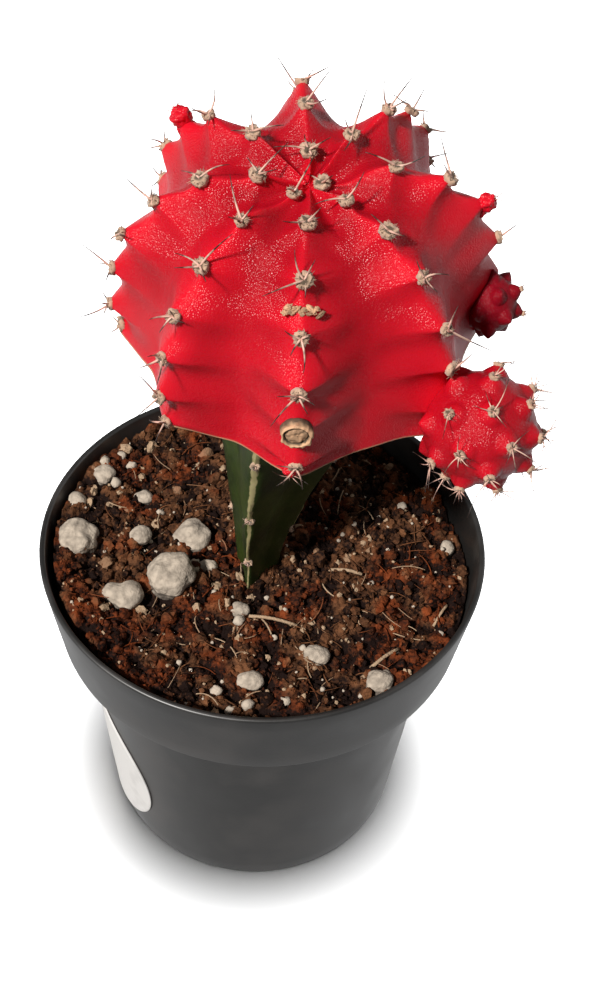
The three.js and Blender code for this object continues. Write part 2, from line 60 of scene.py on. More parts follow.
LIP_ROUNDING = 0.5
STEP_HEIGHT = 1.3  # the sloping step under the band
FLOOR_THICKNESS = 1.4
FOOT_RING = 3.2  # width of the flat ring that it stands on
FOOT_RING_FOOT = 3.6
UNDERSIDE_RECESS = 0.25
DRAIN_HOLES = 5
DRAIN_RADIUS = 2.4
DRAIN_CIRCLE = 15
DRAIN_CUT = (3, -2)  # heights between which a hole is cut
DRAIN_SIDES = 36
POT_SIDES = 180
LONGEST_EDGE = 2.5  # of the mesh along the profile
CORNER_POINTS = 5

# The soil's top: waves along X and Y in radians per millimetre, phase and height

SOIL_GAP = 0.3  # room between it and the pot
SOIL_LEFT_RISE = 1.6
SOIL_REACH = 32.5  # the rise is reached this far to the left
SOIL_MOUNDS = [(0.31, 0.27, 0.5, 0.35), (-0.22, 0.36, 2.1, 0.3), (0.52, -0.47, 0.3, 0.25)]
# it is heaped up at the left wall: how high, and the radii and places to the left where it rises
SOIL_HEAP = 0.9
HEAP_RADII = (22, 30)
HEAP_SIDE = (-5, 25)
SOIL_TONE = 0.3  # of level soil, from 0, dark, to 1, pale
# its lumps: height, size and seed of the noise
CLODS = [(1.1, 3.4, 3), (0.9, 1.6, 4)]
CRUMBS = (1.3, 1.2, 5)
GRAINS = (0.5, 0.6, 6)
SOIL_SHOULDER = (0.9, -0.4)  # heights over the band's foot between which its side narrows
# loose crumbs: radii as shares of the largest, their share that is pale, and room at the wall
CRUMB_SIZES = (0.35, 1)
GRAIN_SIZES = (0.13, 0.4)
PALE_SHARE = 0.05
CRUMB_ROOM = 0.6
CRUMB_TONES = (0.3, 1)
# shares of its size by which a crumb's points and its three axes differ
CRUMB_DENTS = (0.65, 1.25)
CRUMB_STRETCH = (0.6, 1.25)
# coir fibres: lengths, radii, points along each, and room at the wall
FIBRE_LENGTHS = (1.5, 6)
FIBRE_RADII = (0.05, 0.12)
FIBRE_POINTS = 7
FIBRE_ROOM = 3
FIBRE_LIFT = 0.35  # height of a fibre's middle over the soil
# how much a fibre rises or falls and how far it bends to a side, both ways, and down at its ends
FIBRE_SLOPE = 0.25
FIBRE_BEND = 1.2
FIBRE_DROOP = 0.5
FIBRE_TONES = (0.5, 1.0)
TWIG_TONE = 0.95

# Perlite lumps in the soil's top: place and radius

PERLITE = [
    (-13.2, -7.5, 3.9), (-7.9, -3.6, 1.3), (-27.0, -1.4, 3.4), (-25.6, 11.8, 1.8),
    (-19.3, -11.1, 2.3), (-10.6, 2.2, 2.5), (-18.3, 0.5, 1.5), (-19.0, 9.2, 1.3),
    (-28.4, 6.2, 1.4), (-2.4, -10.9, 1.3), (-0.3, -23.4, 1.5), (8.7, -18.2, 1.6),
    (17.6, -21.5, 2.0), (27.8, 4.8, 1.2),
]
PERLITE_FLATNESS = 0.85
PERLITE_ROUGHNESS = 0.1
PERLITE_STAND = 0.25  # the middle's height over the soil, in radii
PERLITE_LOBES = (2.3, 1.9, 2.7)  # waves of the roughness along X, Y and Z
# height and size of its popped bubbles, the finer ones, and its knobs
POPPED = (0.17, 1.1)
FINE_POPPED = (0.09, 0.5)
KNOBS = (0.26, 2.2)
LOOSE_GRAINS = 110  # the finest bits, scattered over the soil
LOOSE_REACH = 30
LOOSE_RADIUS = 0.18  # of the smallest, and how much larger the largest are
LOOSE_SPREAD = 0.35
BIT_RADII = (0.6, 0.85)
# small bits of perlite that the photograph shows
PERLITE_BITS = [
    (-25.4, 14.0), (-23.4, 16.5), (-21.6, 15.0), (-23.3, 10.2), (-16.0, 5.6), (-12.1, 1.6), (-2.5, -13.8),
    (20.8, 12.9), (-4.5, -25.6), (-2.5, -27.9), (-0.2, -27.5), (4.7, -26.1), (-9.6, -5.0), (-9.9, -3.4),
]
# pale rootlets and bark splinters on the soil: both ends and the radius
SOIL_TWIGS = [
    ((-1.2, -12.6), (5.7, -13.2), 0.26), ((0.6, -12.8), (2.2, -16.0), 0.13),
    ((9.9, -1.8), (14.8, -2.3), 0.26), ((25.3, -10.2), (27.3, -6.7), 0.22),
    ((16.3, -19.0), (20.2, -15.2), 0.3),
]

# The rootstock: a stem of three wings

STEM_FOOT = 32
STEM_TOP = 95
STEM_FOOT_MIDDLE = np.array([-1.0, -2.9, 0])
STEM_TOP_MIDDLE = np.array([2.4, 1.8, 0])
STEM_LEAN = (54, 94)  # heights between which its middle moves over
STEM_FOOT_RADIUS = 3.8
STEM_FLARE = (52, 87)  # heights between which its wings widen
LEAD_WING = -12  # azimuth of the front wing
WINGS = 3
WING_HOLLOW = 0.54
WING_SHARPNESS = 2.4
WING_EDGE = 0.045  # half width of the corky margin, as a share of the way to the next hollow
STEM_AREOLES = (58, 69.5, 82)
STEM_AREOLE_STEP = 1.5  # each next wing has its areoles this much higher
STEM_AREOLE_RADIUS = 0.6
GRAFT_GAP = 0.3  # room between the stem and the head's cut underside
STEM_WAVE = 11.4  # length of the waves along a wing's edge, from areole to areole
STEM_WAVE_HEIGHT = 0.3
STEM_SWELL = (0.2, 4.5)  # height and size of the skin's soft relief, and of its roughness
STEM_ROUGHNESS = (0.05, 1.1)
MARGIN_ROUGHNESS = 0.2  # how much rougher the corky margins are
STEM_HAIRS = 14
STEM_SPINES = 3
STEM_SPINE_LENGTH = 1.5
STEM_FACES = (120, 219)  # rows and columns of its mesh

# The head, in its own frame: radius and height along a crest and along a furrow

HEAD_CENTRE = np.array([3.7, -0.35, 107.3])
HEAD_LEAN = (14.8, -0.6)
CREST = [
    (0, 10.6), (3.3, 11.9), (7.7, 13.4), (14.1, 12.1), (18.5, 8.6),
    (22.1, 3.4), (23.3, -2.1), (24.1, -8.5), (23.3, -13.4),
]
FURROW = [
    (0, 10.6), (4.2, 10.5), (8.6, 10.9), (12.2, 9.6), (15.2, 6.6),
    (17.6, 2.3), (18.9, -2.8), (19.7, -8.3), (20.8, -13.2),
]
# places along a crest count from 0 at the crown to 1 at the base
AREOLE_PITCH = 0.135
CROWN_FADE = 0.1  # the notches start within these shares of the crown and the base
BASE_FADE = 0.05
FLANK_HOLLOW = 0.5  # how deep a flank is hollowed, and where along the crest
HOLLOW_START = 0.15
HOLLOW_FADE = (0.4, 0.75)
BACK_HOLLOW = 1.8  # how much deeper the furrows lie half way down the back
UNDERSIDE = -12.6
HEAD_MIDDLE = np.array([0, 0, -3.0])
MEAN_SHIFT = 0.07  # the mean of how far the ribs' areoles are shifted along them
SHIFT_FADE = 0.12
CREASE_DEPTH = 0.3
SWELL = (0.25, 6)  # height and size of the skin's soft unevenness, outwards and sideways
WANDER = (0.35, 5)
# softness of furrows and crests, and the power by which the notches fade down a flank: near the
# crown, and what is added to it down the crest, between two places
FURROW_SOFTNESS = (0.02, 0.08)
CREST_SOFTNESS = (0.08, 0.1)
NOTCH_POWER = (0.8, 0.8)
SOFTER = (0.25, 0.6)
CREASE_RISE = (0.1, 0.3)  # the creases deepen and fade between these places
CREASE_FADE = (0.75, 0.95)
# how much painted shade deepens the red in furrows, in folds and on the crown
FURROW_SHADE = 0.75
FOLD_SHADE = 0.25
CROWN_SHADE = 0.5
CALLUS_EDGE = (0.985, 1)
UNDERSIDE_RINGS = np.array([0.985, 0.96, 0.9, 0.8, 0.65, 0.5, 0.35, 0.2, 0.08])
CALLUS_RELIEF = (0.12, 1.6)  # height and size of the dry underside's unevenness

# Each rib's azimuth, the places along its crest of any lone areoles near the crown, and the
# place of the first of the areoles that keep the pitch
Rib = namedtuple("Rib", "name azimuth crown first")
RIBS = [
    Rib("back", -174, [0.146, 0.3], 0.48),
    Rib("back_left", -126.6, [], 0.265),
    Rib("left", -81.9, [], 0.201),
    Rib("front_left", -42.4, [0.1], 0.302),
    Rib("front", 0.5, [], 0.245),
    Rib("front_right", 48.7, [], 0.19),
    Rib("right", 97.5, [0.06], 0.285),
    Rib("back_right", 142.6, [], 0.235),
]
LAST_AREOLE = 1.015  # areoles past this place are left out
LOWEST_AREOLE = 0.98  # the others stand no lower than here
# areoles that grew into a scar, an offset or a bud, counted from the crown
SCAR_AREOLE = ("front", 4)
BARE_AREOLES = [SCAR_AREOLE, ("front_right", 5), ("right", 5), ("right", 3), ("back_left", 2)]
# the scar, from its middle outwards: radius, height over the skin, and how dark it is, where the dark in
# its groove and where it turns under is painted shade
SCAR_RADIUS = 1.85
SCAR_PROFILE = [
    (0.1, 0.2, 0.35), (0.5, 0.28, 0.2), (0.9, 0.24, 0.3), (1.15, 0.12, 0.4), (1.25, 0.0, 0.7),
    (1.33, -0.05, 0.9), (1.42, 0.05, 0.7), (1.5, 0.3, 0.1), (0.87 * SCAR_RADIUS, 0.4, -0.2),
    (0.95 * SCAR_RADIUS, 0.3, -0.1), (SCAR_RADIUS, 0.05, 0.3), (SCAR_RADIUS, -1, 1),
]
SCAB_ALONG = 0.455
SCAB_HALF_LENGTH = 1.9
SCAB_FLAKES = 12
# the flakes' half sizes along the scab, across it and outwards, how far they stray across it, and
# how far they turn, in radians
FLAKE_SIZES = [(0.3, 0.75), (0.2, 0.45), (0.15, 0.4)]
FLAKE_STRAY = 0.4
FLAKE_TURN = 0.9
AREOLE_HAIRS = 60
# tiny buds: rib, place along its crest, side step, radius
BUDS = [("right", 0.56, 0.4, 1.15), ("back_left", 0.53, -0.4, 1.35), ("front", 0.965, -0.5, 1.0)]

# Offsets in the head's frame: centre, radii, direction of the tip, areoles, height of the
# tubercles as a share of the radii, spine length
OFFSETS = {
    "offset_large": ((21.5, -17.8, -9.0), (7.9, 7.9, 7.9), (0.7, -0.55, 0.35), 26, 0.16, 4.4),
    "offset_small": ((22.9, 0.3, -8.7), (4.4, 4.9, 4.9), (0.85, -0.5, -0.1), 15, 0.26, 1.2),
}
# radius of an offset's cushions, as a share of the head's
LARGE_PAD_SHARE = 0.72
SMALL_PAD_SHARE = 0.4
OFFSET_HAIRS = 30
OFFSET_SPINES = 6
YOUNG_SPINE_RADIUS = 0.09
OFFSET_CLEAR_RADIUS = 25.6
OFFSET_CLEAR_BELOW = 2.5
GOLDEN_ANGLE = 137.508
SPIRAL_SPAN = 1.72
TUBERCLE_FOOT = 1.25  # radians from a tubercle's peak to its foot, where there is one
# a tubercle's height is shared between its dome and its peak, whose width is a share of its foot
DOME_SHARE = 0.55
PEAK_SHARE = 0.45
PEAK_WIDTH = 0.35

# The photograph's camera, fitted to the pot's rim, band and base

CAMERA_PLACE = (4.81, -129.42, 198.93)
CAMERA_ELEVATION = 45.8
CAMERA_ROLL = 3.95
FOCAL_PIXELS = 1317.44
PHOTO_HEIGHT = 982
SENSOR = 36


# The stage: how wide a light's disc is, and for two of them their height and side, in degrees

KEY_SPREAD = 6
WARM_WHITE = (1, 0.97, 0.93)
SIDE_LIGHT = (60, 16, 112)
FLOOR_LIGHT = (23, 89, 120)


# Settings that a user would change

def length_setting(name, description, millimetres):
    """A size setting, given in millimetres."""
    return bpy.props.FloatProperty(
        name=name, description=description, default=millimetres * MM, min=0, unit="LENGTH", precision=4
    )


def angle_setting(name, description, degrees):
    """An angle setting, given in degrees."""
    return bpy.props.FloatProperty(
        name=name, description=description, default=np.radians(degrees), subtype="ANGLE"
    )


def light_setting(name, description, amount):
    """A setting for the strength of a light."""
    return bpy.props.FloatProperty(name=name, description=description, default=amount, min=0)


def count_setting(name, description, count):
    """A setting that counts things."""
    return bpy.props.IntProperty(name=name, description=description, default=count, min=1)


def linear(code):
    """Linear red, green and blue of an sRGB hex value."""
    shares = [int(code[at:at + 2], 16) / 255 for at in (0, 2, 4)]
    return [s / 12.92 if s <= 0.04045 else ((s + 0.055) / 1.055) ** 2.4 for s in shares]


def colour_setting(name, description, code):
    """A colour setting, given as an sRGB hex value."""
    return bpy.props.FloatVectorProperty(
        name=name, description=description, default=linear(code), min=0, max=1, size=3, subtype="COLOR"
    )


class PotSettings(bpy.types.PropertyGroup):
    height: length_setting("Height", "Height of the pot", 56)
    rim_radius: length_setting("Rim radius", "Outside radius of the lip", 32.5)
    band_height: length_setting("Band height", "Height of the band under the lip", 13.5)
    band_foot_radius: length_setting("Band foot radius", "Outside radius at the foot of the band", 30.7)
    body_top_radius: length_setting("Body top radius", "Outside radius just under the step", 26.9)
    base_radius: length_setting("Base radius", "Outside radius of the underside", 23.8)
    wall: length_setting("Wall", "Thickness of the wall", 0.9)
    plastic: colour_setting("Plastic", "Colour of the moulded plastic", "1e1d1c")
    dust: colour_setting("Dust", "Colour of dust and rubbed spots", "6c6866")


class LabelSettings(bpy.types.PropertyGroup):
    radius: length_setting("Radius", "Radius of the blank label", 13)
    height: length_setting("Height", "Height of its middle above the pot's underside", 14.2)
    azimuth: angle_setting("Azimuth", "Where it sits round the pot", -68)
    thickness: length_setting("Thickness", "Thickness of the paper", 0.25)
    gap: length_setting("Gap", "Room behind the paper", 0.12)
    paper: colour_setting("Paper", "Colour of the coated paper", "e6e4e2")


class SoilSettings(bpy.types.PropertyGroup):
    level: length_setting("Level", "Mean height of the soil's top", 52)
    crumb_size: length_setting("Crumb size", "Radius of the largest crumbs", 1.05)
    crumbs: count_setting("Crumbs", "Number of loose crumbs", 1200)
    grains: count_setting("Grains", "Number of finer grains", 8000)
    fibres: count_setting("Fibres", "Number of coir fibres", 260)
    # the soil's tone mixes peat into loam: it is lowered as painted shade in the gaps of the relief, raised
    # where the relief stands up, and varies at random
    peat: colour_setting("Peat", "Colour of the dark peat", "180a06")
    loam: colour_setting("Loam", "Colour of drier crumbs", "7a5034")
    coir: colour_setting("Coir", "Colour of the reddish coir and bark", "843f1d")
    chaff: colour_setting("Chaff", "Colour of the palest dry bits", "b2977b")
    perlite: colour_setting("Perlite", "Colour of the perlite", "c0b2a1")


class RootstockSettings(bpy.types.PropertyGroup):
    top_radius: length_setting("Top radius", "Radius of the wings at the graft", 13.6)
    skin: colour_setting("Skin", "Colour of the lit green skin", "354319")
    dark_skin: colour_setting("Dark skin", "Colour of the skin's deeper patches", "1a2611")
    cork: colour_setting("Cork", "Colour of the corky wing edges", "9a9068")


class HeadSettings(bpy.types.PropertyGroup):
    tooth_height: length_setting("Tooth height", "Depth of the notches between areoles", 1.4)
    areole_radius: length_setting("Areole radius", "Radius of the woolly cushions", 0.8)
    longest_spine: length_setting("Longest spine", "Length of the longest spines", 4.6)
    spine_radius: length_setting("Spine radius", "Radius at a spine's foot", 0.16)
    flesh: colour_setting("Flesh", "Colour of the lit red skin", "de1228")
    # the flesh is painted this deeper red as shade in furrows, folds and on the crown, and as a deeper tone
    # on buds and offsets
    deep_flesh: colour_setting("Deep flesh", "Colour of the skin in furrows and folds", "ae0a1c")
    dark_flesh: colour_setting("Dark flesh", "Colour of the small dark offset", "860c1c")
    wool: colour_setting("Wool", "Colour of the areoles' felt", "cdac92")
    old_wool: colour_setting("Old wool", "Colour of the areoles' worn middle", "5c4d3c")
    spine: colour_setting("Spine", "Colour of the spines near their foot", "e6baa8")
    spine_tip: colour_setting("Spine tip", "Colour of the spines' tips", "38261f")
    cork: colour_setting("Cork", "Colour of scars and callus", "dbae88")


class StageSettings(bpy.types.PropertyGroup):
    floor: colour_setting("Floor", "Colour of the floor", "e8e8e8")
    overhead: light_setting("Floor light", "Strength of the wide light that falls on the floor only", 9.0)
    sun: light_setting("Key light", "Strength of the key light", 4.3)
    side: light_setting("Side light", "Strength of the wide light from the right and behind", 0.42)
    sky: light_setting("Fill light", "Strength of the even fill", 0.12)
    shine: light_setting("Floor shine", "Light of the floor that shows in glossy pieces", 0.8)
    sun_azimuth: angle_setting("Light azimuth", "Side that the key light comes from", -40)
    sun_elevation: angle_setting("Light elevation", "Height of the key light", 44)


# Shapes

def at_azimuth(radius, azimuth, height):
    """Points at radii and heights on azimuths in degrees."""
    turn = np.radians(azimuth)
    parts = np.broadcast_arrays(radius * np.sin(turn), -radius * np.cos(turn), height)
    return np.stack(parts, axis=-1).astype(float)


def all_round(sides):
    """Azimuths of the points of a closed ring."""
    return np.linspace(0, 360, sides, endpoint=False)[None]


def smoothstep(value, low, high):
    """A share that rises softly from 0 at a low value to 1 at a high one."""
    share = np.clip((value - low) / (high - low), 0, 1)
    return share * share * (3 - 2 * share)


def unit(vectors):
    return vectors / np.linalg.norm(vectors, axis=-1, keepdims=True)


def spline(points, share):
    """Points on a smooth line through the given ones, at shares of its way."""
    points = np.array(points, float)
    spans = len(points) - 1
    place = np.clip(share, 0, 1) * spans
    number = np.minimum(place.astype(int), spans - 1)
    t = (place - number)[..., None]
    padded = np.concatenate([points[:1], points, points[-1:]])
    before, here, after, beyond = (padded[number + step] for step in range(4))
    leave, arrive = (after - before) / 2, (beyond - here) / 2
    return (
        (2 * here - 2 * after + leave + arrive) * t**3
        + (3 * after - 3 * here - 2 * leave - arrive) * t**2
        + leave * t
        + here
    )


NOISE_SHIFT = 17.3  # how far apart the places of two seeds lie in the noise


def ripple(points, size, seed=0):
    """Soft noise from -1 to 1 at points, in lumps of about a size in millimetres."""
    flat = (points.reshape(-1, 3) / size + seed * NOISE_SHIFT).tolist()
    return np.array([noise.noise(place) for place in flat]).reshape(points.shape[:-1])


def pebbles(points, size, seed):
    """Distance to the nearest of scattered seeds, 0 at a seed and about 0.6 between them."""
    flat = (points.reshape(-1, 3) / size + seed * NOISE_SHIFT).tolist()
    return np.array([noise.voronoi(place)[0][0] for place in flat]).reshape(points.shape[:-1])


def side_directions(normal):
    """Two directions square to a normal."""
    helper = np.array([0, 0, 1.0]) if abs(normal[2]) < 0.9 else np.array([1.0, 0, 0])
    first = unit(np.cross(helper, normal))
    return first, np.cross(normal, first)


def circle(normal, sides, sense=1):
    """Directions round a normal, one way or, with the sense -1, the other."""
    first, second = side_directions(normal)
    turns = np.linspace(0, 2 * np.pi, sides, endpoint=False)
    return np.cos(turns)[:, None] * first + sense * np.sin(turns)[:, None] * second


def lathed(rings, top, bottom, **shades):
    """A skin over rings of points, from the top down, with a point that closes each end.
    Shades are numbers for each point that its material reads."""
    count, sides = rings.shape[:2]
    at = np.arange(count * sides).reshape(count, sides)
    after = np.roll(at, -1, axis=1)
    faces = np.stack([at[:-1], at[1:], after[1:], after[:-1]], axis=-1).reshape(-1, 4).tolist()
    points = [rings.reshape(-1, 3)]
    values = {name: [np.broadcast_to(shade, (count, sides)).ravel()] for name, shade in shades.items()}
    pole = count * sides
    for end, ring in ((top, 0), (bottom, -1)):
        left, right = (at[ring], after[ring]) if ring == 0 else (after[ring], at[ring])
        faces += [[pole, int(a), int(b)] for a, b in zip(left, right)]
        points.append(np.array(end, float).reshape(1, 3))
        for name, shade in shades.items():
            values[name].append([np.broadcast_to(shade, (count, sides))[ring].mean()])
        pole += 1
    return np.concatenate(points), faces, {name: np.concatenate(parts) for name, parts in values.items()}


def tube(path, radii, sides, **shades):
    """A tapering tube along a path of points. Shades are numbers along the path."""
    ring = circle(unit(path[-1] - path[0]), sides, -1)
    rings = path[:, None] + np.array(radii)[:, None, None] * ring
    columns = {name: np.array(shade, float)[:, None] for name, shade in shades.items()}
    return lathed(rings, path[0], path[-1], **columns)


BALLS = {}


def ball(detail):
    """Points and faces of a unit ball of even triangles."""
    if detail not in BALLS:
        bpy.ops.mesh.primitive_ico_sphere_add(subdivisions=detail, radius=1)
        made = bpy.context.object
        points = np.array([vertex.co for vertex in made.data.vertices])
        BALLS[detail] = (unit(points), np.array([face.vertices for face in made.data.polygons]))
        bpy.data.objects.remove(made)
    return BALLS[detail]


def make_piece(name, parts, material, nodes, sharp=180):
    """One mesh from parts of points in millimetres, faces and shades. It stands for CAD nodes,
    which it hides, and gets the given material. Edges sharper than an angle in degrees stay sharp."""
    starts = np.cumsum([0] + [len(points) for points, _, _ in parts])
    points = np.concatenate([points for points, _, _ in parts]) * MM
    faces = [
        [corner + int(start) for corner in face]
        for (_, part_faces, _), start in zip(parts, starts)
        for face in part_faces
    ]
    mesh = bpy.data.meshes.new(name)
    mesh.from_pydata(points.tolist(), [], faces)
    for shade in parts[0][2]:
        attribute = mesh.attributes.new(shade, "FLOAT", "POINT")
        values = np.concatenate([shades[shade] for _, _, shades in parts]).astype(np.float32)
        attribute.data.foreach_set("value", values)
    mesh.shade_smooth()
    mesh.set_sharp_from_angle(angle=np.radians(sharp))
    mesh.materials.append(material)
    piece = bpy.data.objects.new(name, mesh)
    bpy.context.scene.collection.objects.link(piece)
    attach(piece, BODY)
    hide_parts(*nodes)
    return piece


# Materials

MIX_FACTOR, MIX_A, MIX_B = 0, 6, 7  # a colour mix's sockets, which share their names
MIX_RESULT = 2


def add_node(tree, kind, inputs=None, **settings):
    """Adds a node. Each input gets a value, or a link where it is given another's output."""
    made = tree.nodes.new(kind)
    for name, value in settings.items():
        setattr(made, name, value)
    for name, value in (inputs or {}).items():
        if isinstance(value, bpy.types.NodeSocket):
            tree.links.new(value, made.inputs[name])
        else:
            made.inputs[name].default_value = value
    return made


def per_metre(millimetres):
    """Scale of a texture whose lumps measure so many millimetres."""
    return 1 / (millimetres * MM)


def paint(colour):
    """A colour setting as a node takes it, or another node's output as it is."""
    return colour if isinstance(colour, bpy.types.NodeSocket) else (*colour, 1)


def new_material(name):
    """An empty material, its node tree and the place on the object."""
    material = bpy.data.materials.new(name)
    material.use_nodes = True
    tree = material.node_tree
    tree.nodes.clear()
    return material, tree, add_node(tree, "ShaderNodeTexCoord").outputs["Object"]


def two_tone(tree, place, first, second, size, detail, span, most=1.0, shade=None):
    """Blends one colour into another over noise patches of a size in millimetres, where the
    noise, with a shade of the mesh added, rises through a span. Gives the blend and the noise."""
    patches = add_node(
        tree, "ShaderNodeTexNoise", {"Vector": place, "Scale": per_metre(size), "Detail": detail}
    ).outputs["Fac"]
    amount = patches
    if shade:
        marks = add_node(tree, "ShaderNodeAttribute", attribute_name=shade).outputs["Fac"]
        amount = add_node(tree, "ShaderNodeMath", {0: patches, 1: marks}, operation="ADD").outputs[0]
    share = add_node(
        tree, "ShaderNodeMapRange",
        {"Value": amount, "From Min": span[0], "From Max": span[1], "To Max": most},
    )
    blend = add_node(
        tree, "ShaderNodeMix",
        {MIX_FACTOR: share.outputs[0], MIX_A: paint(first), MIX_B: paint(second)}, data_type="RGBA",
    )
    return blend.outputs[MIX_RESULT], patches


def grain_bump(tree, place, size, detail, strength, depth):
    """The direction of a surface with a noise grain, of a size and a depth in millimetres."""
    grain = add_node(
        tree, "ShaderNodeTexNoise", {"Vector": place, "Scale": per_metre(size), "Detail": detail}
    ).outputs["Fac"]
    return add_node(
        tree, "ShaderNodeBump", {"Strength": strength, "Distance": depth * MM, "Height": grain}
    ).outputs[0]


def finish_material(material, inputs):
    """Ends a material with its shader."""
    tree = material.node_tree
    shader = add_node(tree, "ShaderNodeBsdfPrincipled", inputs)
    add_node(tree, "ShaderNodeOutputMaterial", {"Surface": shader.outputs[0]})
    return material


def waxy_flesh(name, flesh, deep, cork, wax=0.72):
    """Chlorophyll-free cactus flesh: juicy tissue that light sinks into, painted a deeper red as shade
    in furrows and folds, under a thin coat of wax. The coat follows the skin's cells, which breaks
    each highlight into sparks. The cut underside is dry callus."""
    material, tree, place = new_material(name)
    # painted shade: the red deepens where the mesh marks furrows, folds and the crown
    red, _ = two_tone(tree, place, flesh, deep, size=9, detail=3, span=(0.5, 1.3), shade="deep")
    callus = add_node(tree, "ShaderNodeAttribute", attribute_name="callus").outputs["Fac"]
    corky = add_node(
        tree, "ShaderNodeMix", {MIX_FACTOR: callus, MIX_A: red, MIX_B: paint(cork)}, data_type="RGBA"
    )
    # the real cells measure about 0.1 mm, and are drawn twice as coarse to show
    cells = add_node(
        tree, "ShaderNodeTexVoronoi", {"Vector": place, "Scale": per_metre(0.22), "Smoothness": 0.25},
        feature="SMOOTH_F1",
    )
    tissue_domes, wax_domes = (
        add_node(
            tree, "ShaderNodeBump",
            {"Strength": strength, "Distance": 0.18 * MM, "Height": cells.outputs["Distance"]}, invert=True,
        )
        for strength in (0.15, 0.65)
    )
    return finish_material(material, {
        "Base Color": corky.outputs[MIX_RESULT], "Roughness": 0.5, "IOR": 1.4, "Specular IOR Level": 0.04,
        "Subsurface Weight": 0.4, "Subsurface Radius": (1.0, 0.2, 0.15), "Subsurface Scale": 1.1 * MM,
        "Coat Weight": wax, "Coat Roughness": 0.26, "Coat IOR": 1.4,
        "Normal": tissue_domes.outputs[0], "Coat Normal": wax_domes.outputs[0],
    })


def areole_felt(wool, old_wool):
    """Felted plant wool: dull matted hairs, pale on the rim of each cushion and worn grey-brown in
    its middle. The hairs are drawn coarser than their 0.03 mm to show."""
    material, tree, place = new_material("areole_felt")
    felt, _ = two_tone(tree, place, wool, old_wool, size=0.6, detail=4, span=(0.35, 1.35), shade="worn")
    hairs = grain_bump(tree, place, size=0.15, detail=2, strength=0.8, depth=0.1)
    return finish_material(
        material, {"Base Color": felt, "Roughness": 0.9, "Sheen Weight": 0.3, "Normal": hairs}
    )


def spine_horn(spine, tip):
    """Spine horn: hard and slightly glossy, salmon at the foot and brown towards the tip."""
    material, tree, place = new_material("spine_horn")
    horn, _ = two_tone(tree, place, spine, tip, size=0.8, detail=2, span=(0.8, 1.25), shade="along")
    return finish_material(material, {"Base Color": horn, "Roughness": 0.42, "IOR": 1.54})


def scar_cork(cork, old):
    """Scar cork: dry layered plant tissue, matt, in tan rings with darker patches, and painted shade in the
    scar's groove.
    """
    material, tree, place = new_material("scar_cork")
    tissue, _ = two_tone(tree, place, cork, old, size=0.7, detail=5, span=(0.5, 1.2), shade="hollow")
    cracks = grain_bump(tree, place, size=0.7, detail=5, strength=0.7, depth=0.15)
    return finish_material(material, {"Base Color": tissue, "Roughness": 0.8, "Normal": cracks})


def stem_skin(skin, dark, cork):
    """Succulent stem skin: waxy green with darker patches and fine pores, and dry tan cork along
    the edge of each wing."""
    material, tree, place = new_material("stem_skin")
    green, _ = two_tone(tree, place, skin, dark, size=6, detail=4, span=(0.35, 0.7))
    whole, _ = two_tone(tree, place, green, cork, size=1.1, detail=5, span=(0.95, 1.2), shade="margin")
    flakes = grain_bump(tree, place, size=1.1, detail=5, strength=0.5, depth=0.12)
    return finish_material(material, {
        "Base Color": whole, "Roughness": 0.48, "IOR": 1.42, "Specular IOR Level": 0.3,
        "Subsurface Weight": 0.1, "Subsurface Radius": (0.4, 1.0, 0.2), "Subsurface Scale": 0.8 * MM,
        "Normal": flakes,
    })


def potting_mix(peat, loam, coir, chaff):
    """Potting mix: damp peat with brown crumbs, patches of red coir and bark, and a few pale dry bits,
    painted nearly black as shade in its gaps and paler where it stands up. It is matt throughout."""
    material, tree, place = new_material("potting_mix")
    crumb, _ = two_tone(tree, place, loam, coir, size=7, detail=4, span=(0.46, 0.56))
    earth, _ = two_tone(tree, place, peat, crumb, size=0.5, detail=5, span=(0.7, 1.35), shade="tone")
    tone = add_node(tree, "ShaderNodeAttribute", attribute_name="tone").outputs["Fac"]
    pale = add_node(tree, "ShaderNodeMapRange", {"Value": tone, "From Min": 0.8, "From Max": 0.92})
    whole = add_node(
        tree, "ShaderNodeMix", {MIX_FACTOR: pale.outputs[0], MIX_A: earth, MIX_B: paint(chaff)},
        data_type="RGBA",
    )
    grit = grain_bump(tree, place, size=0.35, detail=4, strength=1.0, depth=0.25)
    return finish_material(material, {
        "Base Color": whole.outputs[MIX_RESULT], "Roughness": 0.8, "Specular IOR Level": 0.15,
        "Normal": grit,
    })


def expanded_perlite(perlite, peat):
    """Expanded perlite: a popped volcanic glass, white and matt, darker in its pits and on its lower half.
    """
    material, tree, place = new_material("expanded_perlite")
    crust, _ = two_tone(
        tree, place, perlite, peat, size=1.2, detail=5, span=(0.64, 1.4), most=0.8, shade="pit"
    )
    pores = grain_bump(tree, place, size=0.3, detail=3, strength=0.8, depth=0.15)
    return finish_material(material, {"Base Color": crust, "Roughness": 0.9, "Normal": pores})


def moulded_polypropylene(plastic, dust):
    """Injection-moulded black polypropylene: satin, with the mould's faint mottle, some rubbed
    spots, and dust that dulls it."""
    material, tree, place = new_material("moulded_polypropylene")
    body, cloud = two_tone(tree, place, plastic, dust, size=11, detail=6, span=(0.45, 0.8), most=0.35)
    gloss = add_node(
        tree, "ShaderNodeMapRange",
        {"Value": cloud, "From Min": 0.3, "From Max": 0.7, "To Min": 0.38, "To Max": 0.5},
    )
    texture = grain_bump(tree, place, size=0.5, detail=2, strength=0.15, depth=0.05)
    return finish_material(material, {
        "Base Color": body, "Roughness": gloss.outputs[0], "IOR": 1.52, "Specular IOR Level": 1.0,
        "Normal": texture,
    })


